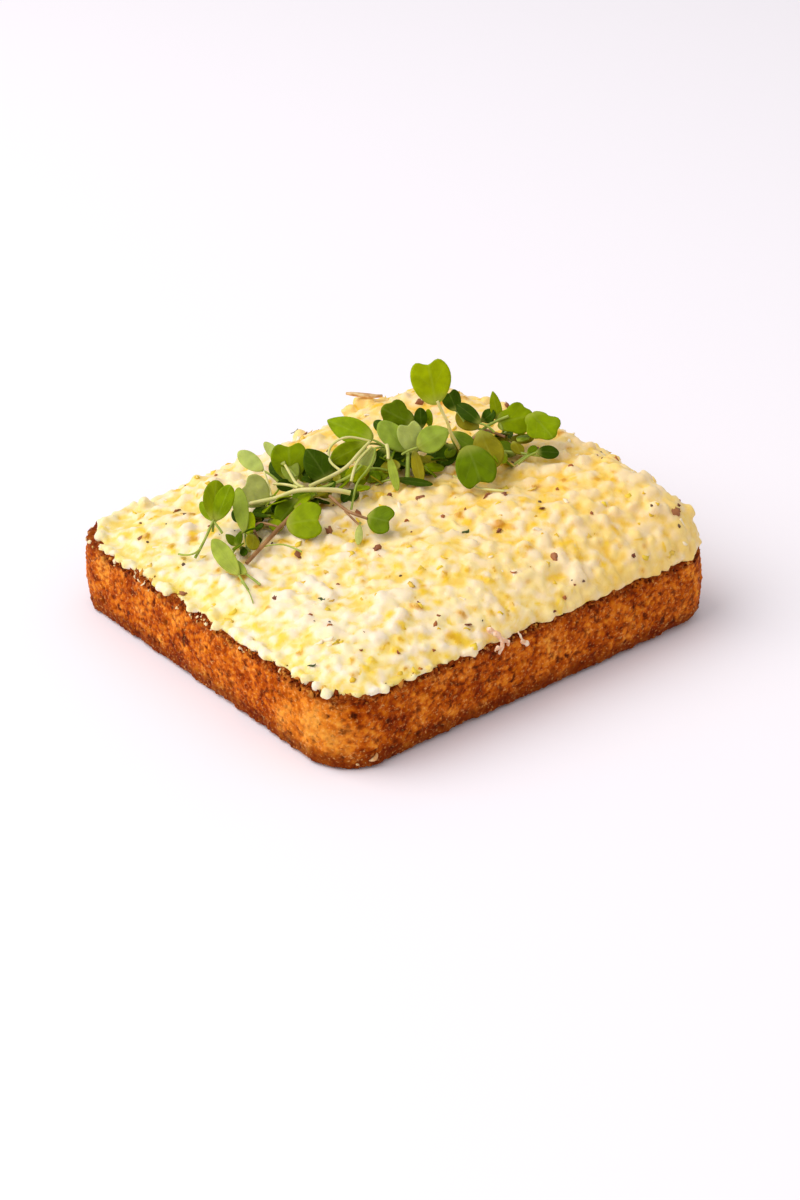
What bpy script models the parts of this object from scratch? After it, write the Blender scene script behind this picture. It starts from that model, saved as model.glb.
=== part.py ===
"""Open sandwich: one thick toasted slice of tin bread, spread with egg salad and topped with cress.

Three solids stand for it. The slice is a slab with rounded corners, slightly barrelled sides and
worn edges. The egg salad is a mound that runs almost to the slice's border, thin on the -X side and
high on the +X side. The cress is one solid out to the uneven outline of its stems and leaves.
Metres, +Z up. The origin is in the middle of the slice's underside, with X along its longer side.
"""

import math

import bmesh
import bpy
from mathutils import Matrix, Vector, noise

MM = 0.001

# The slice, the small roundings of its crust, and how much wider its foot is than its top.
SLICE_LENGTH = 120 * MM
SLICE_WIDTH = 111 * MM
SLICE_HEIGHT = 19 * MM
SLICE_CORNER = 12 * MM
CRUST_EDGE = 1.3 * MM
CRUST_BULGE = 0.6 * MM
CRUST_FLARE = 0.5 * MM
CRUST_WAVE = 0.5 * MM
CRUST_WAVE_SPACING = 16 * MM
SLICE_POINTS = 112
SIDE_RINGS = 4
EDGE_RINGS = 3

# The egg salad: its bare border, its heights, and how fast it rises from the border.
GAP = 0.3 * MM
EGG_INSET = 1.4 * MM
EGG_RAGGED = 0.9 * MM
EGG_RAGGED_SPACING = 6 * MM
EGG_LIP = 0.8 * MM
EGG_BORDER_HEIGHT = 1.6 * MM
EGG_BORDER_RISE = 0.9 * MM
EGG_HEIGHT = 8.8 * MM
EGG_RISE_X = 6.2 * MM
EGG_FALL_Y = 1.0 * MM
EGG_FAR_CORNER_FALL = 3.5 * MM
EGG_SHOULDER = 15 * MM
EGG_SHOULDER_TIGHTER = 4 * MM
EGG_NEAR_SHOULDER = 30 * MM
EGG_SHOULDER_POWER = 2.2
EGG_ROLL = 3.2 * MM
EGG_LUMP = 1.8 * MM
EGG_LUMP_SPACING = 15 * MM
EGG_POINTS = 112
EGG_RINGS = 16

# The cress: the fineness of its one solid, its leaves' and stems' thickness in that solid.
CRESS_CELL = 1.0 * MM
CRESS_TRIANGLES = 2800
CRESS_CLEARANCE = 0.5 * MM
LEAF_THICKNESS = 2.4 * MM
STEM_RADIUS = 1.2 * MM

# Stems by points (x, y, height over the egg) in millimetres, from one cut end to the other.
STEMS = (
    # The long pale stem, and the one that carries on from it under the middle leaves.
    ((-29, 20, 4), (-22, 13, 6), (-16, 8, 6), (-9, 4, 4.5)),
    ((5, 14, 7), (-5, 11, 7.5), (-17, 11, 6)),
    # The purple stem that lies out to the left.
    ((-21, 9, 4), (-33, 5, 2), (-42, 3, 1)),
    # The stem of the leaf that stands up, leaning out of the middle.
    ((9, -6.5, 23), (12, -7, 17), (15, -5, 12), (19, -3, 7), (23, 0, 3)),
    # The stems that join the right-hand leaf to the middle.
    ((15, 10, 6), (23, 4, 6), (30, 0, 6), (36, -5, 7)),
    # The stem under the round leaf that hangs forward.
    ((-15, 5, 4), (-15, -1, 4), (-13, -8, 4)),
)

# Leaves by base, tip (x, y, height over the egg) and width, in millimetres.
LEAVES = (
    # Left-hand sprigs.
    ((-42, 17, 4), (-37, 21, 13), 9),
    ((-48, 13, 3), (-46, -5, 2), 4.5),
    ((-38, 11, 3), (-34, 18, 9), 5),
    ((-26, 18, 5), (-24, 30, 10), 7),
    ((-15, 20, 5), (-14, 29, 11), 9),
    ((-12, 14, 4), (-9, 19, 10), 7),
    ((-29, 6, 2), (-23, -4, 4), 8.5),
    ((-41, 11, 1), (-40, 6, 3), 5),
    # Middle sprigs.
    ((5, 14, 8), (0, 25, 12), 7),
    ((-13, -7, 4), (-12, -15, 4), 8),
    ((4, 12, 5), (-5, 12, 3), 6),
    ((16, 12, 7), (13, 20, 12), 10),
    ((14, 7, 6), (10, 13, 11), 9),
    ((23, 7, 8), (22, 14, 11), 6),
    ((20, 2, 10), (11, 2, 7), 6),
    ((9, -7, 23), (10, -3, 33), 10),
    ((18, -7, 8), (14, -16, 3), 9),
    ((25, -3, 8), (22, -12, 3), 7),
    ((28, 1, 9), (26, 7, 13), 6),
    ((9, 5, 5), (6, -3, 1), 6),
    # The lobed leaf on the right.
    ((32, -1, 6), (38, -10, 9), 10),
    ((34, -10, 7), (41, -16, 6), 8),
)

# Heaped leaves under the sprigs: centre over the egg and half-sizes, in millimetres.
BEDS = (
    ((-41, 12, 1.5), (9, 7, 3)),
    ((-23, 15, 2.5), (11, 7, 3.5)),
    ((-4, 11, 3), (11, 5, 3.5)),
    ((15, 6, 3), (12, 8, 5)),
    ((31, -6, 2.5), (8, 7, 4)),
)


def clear_scene():
    for thing in list(bpy.data.objects):
        bpy.data.objects.remove(thing, do_unlink=True)


def plain_material(name, colour, roughness):
    material = bpy.data.materials.new(name)
    material.use_nodes = True
    shader = material.node_tree.nodes["Principled BSDF"]
    shader.inputs["Base Color"].default_value = (*colour, 1)
    shader.inputs["Roughness"].default_value = roughness
    shader.inputs["Metallic"].default_value = 0
    return material


def add_object(name, mesh, material):
    thing = bpy.data.objects.new(name, mesh)
    bpy.context.collection.objects.link(thing)
    mesh.materials.append(material)
    return thing


def mesh_from(builder, name):
    bmesh.ops.recalc_face_normals(builder, faces=builder.faces)
    mesh = bpy.data.meshes.new(name)
    builder.to_mesh(mesh)
    builder.free()
    return mesh


def rounded_rectangle(half_x, half_y, radius, count):
    """Evenly spaced (point, outward direction) pairs, anticlockwise round a rounded rectangle."""
    run_x = 2 * (half_x - radius)
    run_y = 2 * (half_y - radius)
    arc = math.pi / 2 * radius
    # Each stretch: its straight length, where it starts, its heading, and the arc that ends it.
    starts = (
        Vector((half_x, -half_y + radius)),
        Vector((half_x - radius, half_y)),
        Vector((-half_x, half_y - radius)),
        Vector((-half_x + radius, -half_y)),
    )
    runs = (run_y, run_x, run_y, run_x)
    step = (2 * (run_x + run_y) + 4 * arc) / count
    pairs = []
    travelled = 0.0
    side = 0
    for _ in range(count):
        while travelled > runs[side] + arc:
            travelled -= runs[side] + arc
            side += 1
        heading = Matrix.Rotation(math.pi / 2 * side, 2) @ Vector((0, 1))
        outward = Vector((heading.y, -heading.x))
        corner = starts[side] + heading * runs[side] - outward * radius
        if travelled <= runs[side]:
            point = starts[side] + heading * travelled
        else:
            turn = Matrix.Rotation((travelled - runs[side]) / radius, 2)
            outward = turn @ outward
            point = corner + outward * radius
        pairs.append((point, outward))
        travelled += step
    return pairs


def join_rings(builder, rings):
    """Bridge each ring of vertices to the next."""
    count = len(rings[0])
    for lower, upper in zip(rings, rings[1:]):
        for i in range(count):
            after = (i + 1) % count
            builder.faces.new((lower[i], lower[after], upper[after], upper[i]))


def slice_profile():
    """(height, inset) pairs up the crust: a rounded edge, a barrelled side, a rounded edge."""
    profile = []
    for i in range(EDGE_RINGS):
        angle = math.pi / 2 * i / EDGE_RINGS
        profile.append((CRUST_EDGE * (1 - math.cos(angle)), CRUST_EDGE * (1 - math.sin(angle))))
    straight = SLICE_HEIGHT - 2 * CRUST_EDGE
    for i in range(SIDE_RINGS + 1):
        share = i / SIDE_RINGS
        bulge = CRUST_BULGE * math.sin(math.pi * share)
        profile.append((CRUST_EDGE + straight * share, -bulge))
    upper = [(SLICE_HEIGHT - height, inset) for height, inset in reversed(profile[:EDGE_RINGS])]
    return profile + upper


def make_slice():
    """The toasted slice: its outline wanders a little, as a loaf's sides do."""
    outline = rounded_rectangle(
        SLICE_LENGTH / 2 - CRUST_BULGE, SLICE_WIDTH / 2 - CRUST_BULGE, SLICE_CORNER, SLICE_POINTS
    )
    places = []
    for height, inset in slice_profile():
        lean = CRUST_FLARE * height / SLICE_HEIGHT
        for point, outward in outline:
            seed = Vector((point.x, point.y, height)) / CRUST_WAVE_SPACING
            moved = point + outward * (CRUST_WAVE * noise.noise(seed) - inset - lean)
            places.append(Vector((moved.x, moved.y, height)))
    fit_plan(places, SLICE_LENGTH, SLICE_WIDTH)
    builder = bmesh.new()
    vertices = [builder.verts.new(place) for place in places]
    rings = [vertices[i:i + SLICE_POINTS] for i in range(0, len(vertices), SLICE_POINTS)]
    join_rings(builder, rings)
    builder.faces.new(rings[0])
    builder.faces.new(rings[-1])
    bmesh.ops.triangulate(builder, faces=[face for face in builder.faces if len(face.verts) > 4])
    return mesh_from(builder, "toast_slice")


def fit_plan(places, length, width):
    """Stretch places to an exact length and width about the origin."""
    for axis, size in ((0, length), (1, width)):
        low = min(place[axis] for place in places)
        high = max(place[axis] for place in places)
        for place in places:
            place[axis] = (place[axis] - (low + high) / 2) * size / (high - low)


def smooth_share(distance, reach, power):
    """0 at a border, rising round a shoulder to 1 at the given reach."""
    left = 1 - min(max(distance / reach, 0), 1)
    return 1 - left ** power


def egg_height(x, y, border_distance):
    """Height of the egg salad over its underside: low on -X, high on +X, rounded at its border."""
    along = x / (SLICE_LENGTH / 2)
    across = y / (SLICE_WIDTH / 2)
    reach = EGG_SHOULDER - EGG_SHOULDER_TIGHTER * along
    # The -Y side slopes down gently, except at the +X end, where the spread is heaped to its edge.
    near_reach = EGG_NEAR_SHOULDER + (reach - EGG_NEAR_SHOULDER) * max(along, 0) ** 4
    reach_y = near_reach if y < 0 else reach
    shoulder = smooth_share(SLICE_LENGTH / 2 - EGG_INSET - abs(x), reach, EGG_SHOULDER_POWER)
    shoulder *= smooth_share(SLICE_WIDTH / 2 - EGG_INSET - abs(y), reach_y, EGG_SHOULDER_POWER)
    heap = EGG_HEIGHT + EGG_RISE_X * along - EGG_FALL_Y * across
    heap -= EGG_FAR_CORNER_FALL * max(along, 0) * max(across, 0)
    lumps = EGG_LUMP * noise.noise(Vector((x, y, 0)) / EGG_LUMP_SPACING)
    roll = smooth_share(border_distance, EGG_ROLL, 2)
    border = EGG_BORDER_HEIGHT + EGG_BORDER_RISE * along
    return EGG_LIP + roll * (border + shoulder * (heap + lumps))


def egg_border():
    """The spread's ragged outline, a little inside the crust."""
    half_x = SLICE_LENGTH / 2 - EGG_INSET
    half_y = SLICE_WIDTH / 2 - EGG_INSET
    border = []
    for point, outward in rounded_rectangle(half_x, half_y, SLICE_CORNER - EGG_INSET, EGG_POINTS):
        wander = noise.noise(Vector((point.x, point.y, 0)) / EGG_RAGGED_SPACING)
        border.append(point + outward * EGG_RAGGED * wander)
    return border


def egg_surface_rings(builder, lift):
    """Rings of vertices from the border in to the middle, raised by lift."""
    base = SLICE_HEIGHT + GAP + lift
    rings = []
    for j in range(EGG_RINGS):
        scale = 1 - (j / EGG_RINGS) ** 1.3
        ring = []
        for point in egg_border():
            place = point * scale
            height = egg_height(place.x, place.y, (point - place).length)
            ring.append(builder.verts.new((place.x, place.y, base + height)))
        rings.append(ring)
    return rings


def close_top(builder, ring, height):
    """Fan the innermost ring to one vertex in the middle."""
    middle = builder.verts.new((0, 0, height))
    for i in range(len(ring)):
        builder.faces.new((ring[i], ring[(i + 1) % len(ring)], middle))


def egg_solid(name, lift, bottom):
    """A closed solid under the egg salad's surface, raised by lift, down to the given bottom."""
    builder = bmesh.new()
    rings = egg_surface_rings(builder, lift)
    foot = [builder.verts.new((v.co.x, v.co.y, bottom)) for v in rings[0]]
    join_rings(builder, [foot] + rings)
    far_in = SLICE_LENGTH
    top = SLICE_HEIGHT + GAP + lift + egg_height(0, 0, far_in)
    close_top(builder, rings[-1], top)
    builder.faces.new(foot)
    bmesh.ops.triangulate(builder, faces=[face for face in builder.faces if len(face.verts) > 4])
    return mesh_from(builder, name)


def over_egg(place):
    """A point given in millimetres over the egg salad's surface, in metres in the part's frame."""
    x = place[0] * MM
    y = place[1] * MM
    edge = min(SLICE_LENGTH / 2 - abs(x), SLICE_WIDTH / 2 - abs(y)) - EGG_INSET
    return Vector((x, y, SLICE_HEIGHT + GAP + egg_height(x, y, edge) + place[2] * MM))


def add_ball(builder, matrix, segments, rings):
    bmesh.ops.create_uvsphere(
        builder, u_segments=segments, v_segments=rings, radius=1, matrix=matrix
    )


def add_leaf(builder, base, tip, width):
    """A flat lens along the leaf, its face turned upwards as far as its slope allows."""
    foot = over_egg(base)
    along = over_egg(tip) - foot
    across = along.cross(Vector((0, 0, 1))).normalized()
    normal = across.cross(along).normalized()
    turn = Matrix((across, along.normalized(), normal)).transposed().to_4x4()
    size = Matrix.Diagonal((width * MM / 2, along.length / 2, LEAF_THICKNESS / 2, 1))
    add_ball(builder, Matrix.Translation(foot + along / 2) @ turn @ size, 14, 8)


def stem_path(points):
    """Close points along a Catmull-Rom curve through a stem's points."""
    knots = [over_egg(point) for point in points]
    knots = [2 * knots[0] - knots[1]] + knots + [2 * knots[-1] - knots[-2]]
    path = []
    for a, b, c, d in zip(knots, knots[1:], knots[2:], knots[3:]):
        steps = max(2, round((c - b).length / (STEM_RADIUS * 0.8)))
        for i in range(steps + 1):
            t = i / steps
            turn = (2 * a - 5 * b + 4 * c - d) * t * t + (3 * b - a - 3 * c + d) * t ** 3
            path.append((2 * b + (c - a) * t + turn) / 2)
    return path


def add_stem(builder, points):
    """A stem as overlapping balls along its path."""
    size = Matrix.Scale(STEM_RADIUS, 4)
    for place in stem_path(points):
        add_ball(builder, Matrix.Translation(place) @ size, 8, 6)


def add_bed(builder, centre, half_sizes):
    """A low heap of leaves under the sprigs."""
    size = Matrix.Diagonal((*(half * MM for half in half_sizes), 1))
    add_ball(builder, Matrix.Translation(over_egg(centre)) @ size, 16, 10)


def heaped_cress():
    """All the leaves, stems and beds as overlapping shells in one mesh."""
    builder = bmesh.new()
    for points in STEMS:
        add_stem(builder, points)
    for base, tip, width in LEAVES:
        add_leaf(builder, base, tip, width)
    for centre, half_sizes in BEDS:
        add_bed(builder, centre, half_sizes)
    return mesh_from(builder, "cress")


def evaluated_mesh(thing, name):
    """The object's mesh with its modifiers worked out."""
    bpy.context.view_layer.update()
    seen = thing.evaluated_get(bpy.context.evaluated_depsgraph_get())
    mesh = bpy.data.meshes.new_from_object(seen)
    mesh.name = name
    return mesh


def shells_of(builder):
    """The connected sets of faces in a mesh, the largest first."""
    waiting = set(builder.faces)
    shells = []
    while waiting:
        shell = set()
        edge_of_search = [waiting.pop()]
        while edge_of_search:
            face = edge_of_search.pop()
            shell.add(face)
            for edge in face.edges:
                near = [other for other in edge.link_faces if other in waiting]
                waiting.difference_update(near)
                edge_of_search.extend(near)
        shells.append(shell)
    return sorted(shells, key=len, reverse=True)


def keep_largest_shell(mesh):
    builder = bmesh.new()
    builder.from_mesh(mesh)
    loose = [face for shell in shells_of(builder)[1:] for face in shell]
    bmesh.ops.delete(builder, geom=loose, context="FACES")
    bmesh.ops.triangulate(builder, faces=builder.faces)
    builder.to_mesh(mesh)
    builder.free()


def make_cress(material):
    """One solid of the whole tangle, cut clear of the egg salad beneath it."""
    rough = add_object("cress_shells", heaped_cress(), material)
    remesh = rough.modifiers.new("one skin", "REMESH")
    remesh.mode = "VOXEL"
    remesh.voxel_size = CRESS_CELL
    whole = add_object("cress_whole", evaluated_mesh(rough, "cress_whole"), material)
    bpy.data.objects.remove(rough, do_unlink=True)
    whole.data.materials.clear()

    thinner = whole.modifiers.new("fewer faces", "DECIMATE")
    triangles = sum(len(face.vertices) - 2 for face in whole.data.polygons)
    thinner.ratio = min(1, CRESS_TRIANGLES / triangles)

    clearance = egg_solid("egg_clearance", CRESS_CLEARANCE, SLICE_HEIGHT / 2)
    cutter = bpy.data.objects.new("egg_clearance", clearance)
    bpy.context.collection.objects.link(cutter)
    cutter.hide_render = True
    cutter.display_type = "WIRE"
    cut = whole.modifiers.new("clear of the egg", "BOOLEAN")
    cut.operation = "DIFFERENCE"
    cut.solver = "EXACT"
    cut.object = cutter

    mesh = evaluated_mesh(whole, "cress_sprigs")
    bpy.data.objects.remove(whole, do_unlink=True)
    bpy.data.objects.remove(cutter, do_unlink=True)
    mesh.materials.clear()
    keep_largest_shell(mesh)
    return add_object("cress_sprigs", mesh, material)


def main():
    clear_scene()
    crust = plain_material("toasted crust", (0.48, 0.24, 0.08), 0.75)
    egg = plain_material("egg salad", (0.86, 0.74, 0.42), 0.45)
    leaf = plain_material("cress leaf", (0.16, 0.26, 0.04), 0.5)
    toast = add_object("toast_slice", make_slice(), crust)
    spread = add_object("egg_salad", egg_solid("egg_salad", 0, SLICE_HEIGHT + GAP), egg)
    cress = make_cress(leaf)
    for thing in (toast, spread, cress):
        thing.data.shade_smooth()
        thing.data.set_sharp_from_angle(angle=math.radians(50))


main()
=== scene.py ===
# %% [markdown]
# # An open sandwich: toast, egg salad and cress
#
# The real thing is made in three moves: a thick slice of tin bread is toasted, chopped egg in
# mayonnaise is spread over it, and a few sprigs of cress are dropped on top. This file makes it in
# the same order. The solid model gives the sizes and places, and each step below grows the fine
# surface that a solid leaves out: the pores of the crust, the lumps of egg, the veins of a leaf.

# %% Load the solid model
import math
import random

import bmesh
import bpy
import numpy as np
from mathutils import Matrix, Vector, noise
from mathutils.bvhtree import BVHTree


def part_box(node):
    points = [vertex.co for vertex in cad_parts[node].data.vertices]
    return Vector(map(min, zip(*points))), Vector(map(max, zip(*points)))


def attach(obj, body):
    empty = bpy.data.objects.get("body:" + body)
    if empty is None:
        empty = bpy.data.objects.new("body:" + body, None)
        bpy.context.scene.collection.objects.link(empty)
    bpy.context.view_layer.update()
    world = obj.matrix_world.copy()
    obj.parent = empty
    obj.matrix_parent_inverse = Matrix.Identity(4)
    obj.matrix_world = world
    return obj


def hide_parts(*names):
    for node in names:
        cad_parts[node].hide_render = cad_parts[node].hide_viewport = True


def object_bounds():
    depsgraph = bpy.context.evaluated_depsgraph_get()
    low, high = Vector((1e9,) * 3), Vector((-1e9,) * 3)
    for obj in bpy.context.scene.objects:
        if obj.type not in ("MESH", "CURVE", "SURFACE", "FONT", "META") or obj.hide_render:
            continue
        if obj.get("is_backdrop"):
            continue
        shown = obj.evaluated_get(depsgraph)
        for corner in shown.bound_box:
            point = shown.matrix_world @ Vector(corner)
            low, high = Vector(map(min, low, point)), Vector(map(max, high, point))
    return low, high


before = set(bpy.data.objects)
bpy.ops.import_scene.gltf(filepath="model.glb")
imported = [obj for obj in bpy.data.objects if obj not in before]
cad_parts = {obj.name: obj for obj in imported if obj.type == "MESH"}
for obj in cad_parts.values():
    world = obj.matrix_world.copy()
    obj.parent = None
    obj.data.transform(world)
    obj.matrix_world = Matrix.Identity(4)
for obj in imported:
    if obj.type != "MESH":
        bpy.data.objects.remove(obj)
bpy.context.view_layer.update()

MM = 0.001
slice_low, slice_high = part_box("toast_slice")
print("slice from", slice_low, "to", slice_high)

# %% [markdown]
# ## Small tools
#
# Colours are written as sRGB hex and turned to the linear light that a shader works in. One
# function adds any node with its settings and its links, so a tree reads as a list of what is done.
# The others do in one line what each finish and each mesh needs again.

# %% Colour and node helpers
def linear(hex_colour):
    """A colour written as sRGB hex, as the shader wants it: linear, with an alpha of 1."""
    channels = [int(hex_colour[i:i + 2], 16) / 255 for i in (1, 3, 5)]
    return (*(c / 12.92 if c <= 0.04045 else ((c + 0.055) / 1.055) ** 2.4 for c in channels), 1)


def plug(node, inputs):
    """Set a node's inputs: to a number, a colour, an output, or the first output of a node."""
    for key, value in inputs.items():
        if isinstance(value, bpy.types.Node):
            value = next(output for output in value.outputs if output.enabled)
        if isinstance(value, bpy.types.NodeSocket):
            node.id_data.links.new(value, node.inputs[key])
        else:
            node.inputs[key].default_value = value


def add_node(tree, kind, inputs=None, **settings):
    """Add one node with its settings, and plug its inputs in."""
    node = tree.nodes.new(kind)
    for name, value in settings.items():
        setattr(node, name, value)
    plug(node, inputs or {})
    return node


def new_material(name, **sockets):
    """A Principled material with some sockets set. Returns it, its tree and its shader."""
    material = bpy.data.materials.new(name)
    material.use_nodes = True
    shader = material.node_tree.nodes["Principled BSDF"]
    plug(shader, {socket.replace("_", " "): value for socket, value in sockets.items()})
    return material, material.node_tree, shader


def ramp(tree, factor, *stops):
    """A colour ramp over (position, hex colour) stops."""
    node = add_node(tree, "ShaderNodeValToRGB", {"Fac": factor})
    while len(node.color_ramp.elements) < len(stops):
        node.color_ramp.elements.new(0.5)
    for element, (position, colour) in zip(node.color_ramp.elements, stops):
        element.position = position
        element.color = linear(colour)
    return node


def laid_over(tree, colour, *coats, way="MIX"):
    """A colour under coats, each given as its share and its colour, from the lowest up."""
    for share, coat in coats:
        coat = linear(coat) if isinstance(coat, str) else coat
        colour = add_node(tree, "ShaderNodeMix", {
            "Factor": share, "A": colour, "B": coat,
        }, data_type="RGBA", blend_type=way)
    return colour


def mottled(name, stops, grain=None, **sockets):
    """A finish whose colour runs through stops: by noise with grains of the given size, or else
    by each bit's own tint."""
    material, tree, shader = new_material(name, **sockets)
    if grain:
        place = add_node(tree, "ShaderNodeTexCoord").outputs["Object"]
        factor = add_node(tree, "ShaderNodeTexNoise", {"Vector": place, "Scale": 1 / grain})
    else:
        factor = add_node(tree, "ShaderNodeAttribute", attribute_name="tint").outputs["Fac"]
    plug(shader, {"Base Color": ramp(tree, factor, *stops)})
    return material


def finished(builder, name):
    """The mesh that a bmesh builder holds, which ends the builder."""
    mesh = bpy.data.meshes.new(name)
    builder.to_mesh(mesh)
    builder.free()
    return mesh


def add_object(name, data):
    """An object that holds a mesh, a curve, a camera or a light, linked to the scene."""
    thing = bpy.data.objects.new(name, data)
    bpy.context.scene.collection.objects.link(thing)
    return thing


# %% [markdown]
# ## Camera, table and light
#
# The slice is seen from above one corner with a short telephoto lens. The table is a plain white
# sheet. The light is a broad round window from the left and a little behind. It leaves the
# right-hand crust in shade and lays a soft shadow to the right, and because it is near, the left
# end is lit more than the right. An even white sky fills in all round. The plain "Standard" view
# keeps whites white and the crust's orange as strong as it is.

# %% Camera
CAMERA_LENS = 65
CAMERA_AZIMUTH = math.radians(-39.4)
CAMERA_ELEVATION = math.radians(29.2)
CAMERA_DISTANCE = 545 * MM
CAMERA_TARGET = Vector((2.2, -0.7, 0.9)) * MM

towards_camera = Vector((
    math.sin(CAMERA_AZIMUTH) * math.cos(CAMERA_ELEVATION),
    -math.cos(CAMERA_AZIMUTH) * math.cos(CAMERA_ELEVATION),
    math.sin(CAMERA_ELEVATION),
))
camera = add_object("camera", bpy.data.cameras.new("camera"))
camera.data.lens = CAMERA_LENS
camera.data.clip_start = 0.01
camera.location = CAMERA_TARGET + towards_camera * CAMERA_DISTANCE
camera.rotation_euler = (-towards_camera).to_track_quat("-Z", "Y").to_euler()
bpy.context.scene.camera = camera
print("camera at", camera.location)

# %% Table, window and sky
TABLE_SIZE = 6.0
WINDOW_DIRECTION = Vector((-0.75, 0.45, 1.0)).normalized()
WINDOW_DISTANCE = 1.7
WINDOW_WIDTH = 1.88
WINDOW_WATTS = 24.5
SKY_STRENGTH = 0.60

builder = bmesh.new()
bmesh.ops.create_grid(builder, x_segments=1, y_segments=1, size=TABLE_SIZE / 2)
table = add_object("table", finished(builder, "table"))
# White laminate: a plain pale matt sheet.
white, _, _ = new_material("white laminate", Base_Color=linear("#FBF5FB"), Roughness=0.8)
table.data.materials.append(white)
table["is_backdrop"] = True

window = add_object("window", bpy.data.lights.new("window", "AREA"))
window.data.shape = "DISK"
window.data.size = WINDOW_WIDTH
window.data.energy = WINDOW_WATTS
window.location = WINDOW_DIRECTION * WINDOW_DISTANCE
window.rotation_euler = WINDOW_DIRECTION.to_track_quat("Z", "Y").to_euler()

sky = bpy.data.worlds.new("sky")
sky.use_nodes = True
sky.node_tree.nodes["Background"].inputs["Color"].default_value = (1, 1, 1, 1)
sky.node_tree.nodes["Background"].inputs["Strength"].default_value = SKY_STRENGTH
bpy.context.scene.world = sky
bpy.context.scene.view_settings.view_transform = "Standard"


# %% [markdown]
# ## How a finished piece is handed over
#
# Every piece ends as a plain mesh that sits at the origin. It rides on the sandwich's one body,
# hides the solid of the model that it stands for, and takes the finish that it is given.

# %% Handing over
def plain_mesh(thing, name):
    """The object's mesh with its modifiers worked out, as a mesh of its own."""
    bpy.context.view_layer.update()
    seen = thing.evaluated_get(bpy.context.evaluated_depsgraph_get())
    mesh = bpy.data.meshes.new_from_object(seen)
    mesh.name = name
    return mesh


def drop(thing):
    """Remove a working object that isn't shown."""
    bpy.data.objects.remove(thing, do_unlink=True)


def grow(thing, tree, name, **sizes):
    """Run a Geometry Nodes tree on an object and return the plain mesh that it grows."""
    modifier = thing.modifiers.new(tree.name, "NODES")
    modifier.node_group = tree
    for item in tree.interface.items_tree:
        if item.item_type == "SOCKET" and item.in_out == "INPUT" and item.name in sizes:
            modifier[item.identifier] = sizes[item.name]
    mesh = plain_mesh(thing, name)
    thing.modifiers.remove(modifier)
    return mesh


def new_tree(name, **inputs):
    """A Geometry Nodes tree with a geometry in and out and named inputs of the given kinds."""
    tree = bpy.data.node_groups.new(name, "GeometryNodeTree")
    tree.interface.new_socket("Geometry", in_out="INPUT", socket_type="NodeSocketGeometry")
    tree.interface.new_socket("Geometry", in_out="OUTPUT", socket_type="NodeSocketGeometry")
    for key, kind in inputs.items():
        tree.interface.new_socket(key, in_out="INPUT", socket_type="NodeSocket" + kind)
    entry = tree.nodes.new("NodeGroupInput")
    return tree, entry.outputs


def end_tree(tree, geometry, material=None):
    """Close a tree: instances made real, a material set, and the result out."""
    real = add_node(tree, "GeometryNodeRealizeInstances", {"Geometry": geometry})
    last = add_node(tree, "GeometryNodeSetMaterial", {"Geometry": real, "Material": material})
    add_node(tree, "NodeGroupOutput", {0: last})


def hand_over(name, mesh, node, material=None):
    """Show a finished mesh as a piece of the sandwich."""
    piece = add_object(name, mesh)
    if material:
        mesh.materials.clear()
        mesh.materials.append(material)
    mesh.shade_smooth()
    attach(piece, "root")
    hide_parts(node)
    triangles = sum(len(face.vertices) - 2 for face in mesh.polygons)
    print(name, "has", triangles, "triangles")
    return piece


# %% [markdown]
# ## The toasted slice
#
# Tin bread has a thin crust that baked against the tin: fine grained, full of tiny pores, golden
# where it is thick and almost black along the cut edges that caught the toaster. A displaced
# texture would do for the colour, but the pores must be real dents, because they break the
# outline and hold the shadow. So the slice is a closely ringed skin with a little noise on it, and
# Geometry Nodes scatter pores over it and sink the skin round each one.

# %% The skin of the slice
SKIN_SPACING = 0.46 * MM
SLICE_CORNER = 12 * MM
# The corner under the heap is sharper than the others, and its foot is rubbed round.
SHARP_CORNER = 10 * MM
WORN_FOOT = Vector((56, -53)) * MM
WORN_REACH = 26 * MM
WORN_RADIUS = 3.4 * MM
FOOT_RADIUS = 1.3 * MM
ARC_STEPS = 24
CRUST_EDGE = 1.2 * MM
CRUST_BULGE = 0.6 * MM
CRUST_FLARE = 0.5 * MM
EDGE_STEPS = 4
FLAT_BAND = 4.5 * MM
FLAT_STEPS = 10
FLAT_CROWDING = 1.5  # over 1, the rings on the flats lie closer together towards the edge

slice_half = (slice_high - slice_low) / 2
slice_top = slice_high.z


def rounded_outline(half_x, half_y, radii, spacing):
    """Evenly spaced points and outward directions round a rectangle, as arrays. Each corner has
    its own radius, from the (+X, -Y) corner counter-clockwise."""
    stops = []
    for corner, radius in enumerate(radii):
        side_x = 1 if corner in (0, 1) else -1
        side_y = 1 if corner in (1, 2) else -1
        for i in range(ARC_STEPS + 1):
            angle = math.pi / 2 * (corner - 1 + i / ARC_STEPS)
            cos, sin = math.cos(angle), math.sin(angle)
            x = side_x * (half_x - radius) + radius * cos
            y = side_y * (half_y - radius) + radius * sin
            stops.append((x, y, cos, sin))
    stops = np.array(stops + stops[:1])
    steps = np.linalg.norm(np.diff(stops[:, :2], axis=0), axis=1)
    travelled = np.concatenate([[0], np.cumsum(steps)])
    count = round(travelled[-1] / spacing)
    even = travelled[-1] * np.arange(count) / count
    columns = np.stack([np.interp(even, travelled, column) for column in stops.T], axis=1)
    return columns[:, :2], columns[:, 2:]


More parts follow.
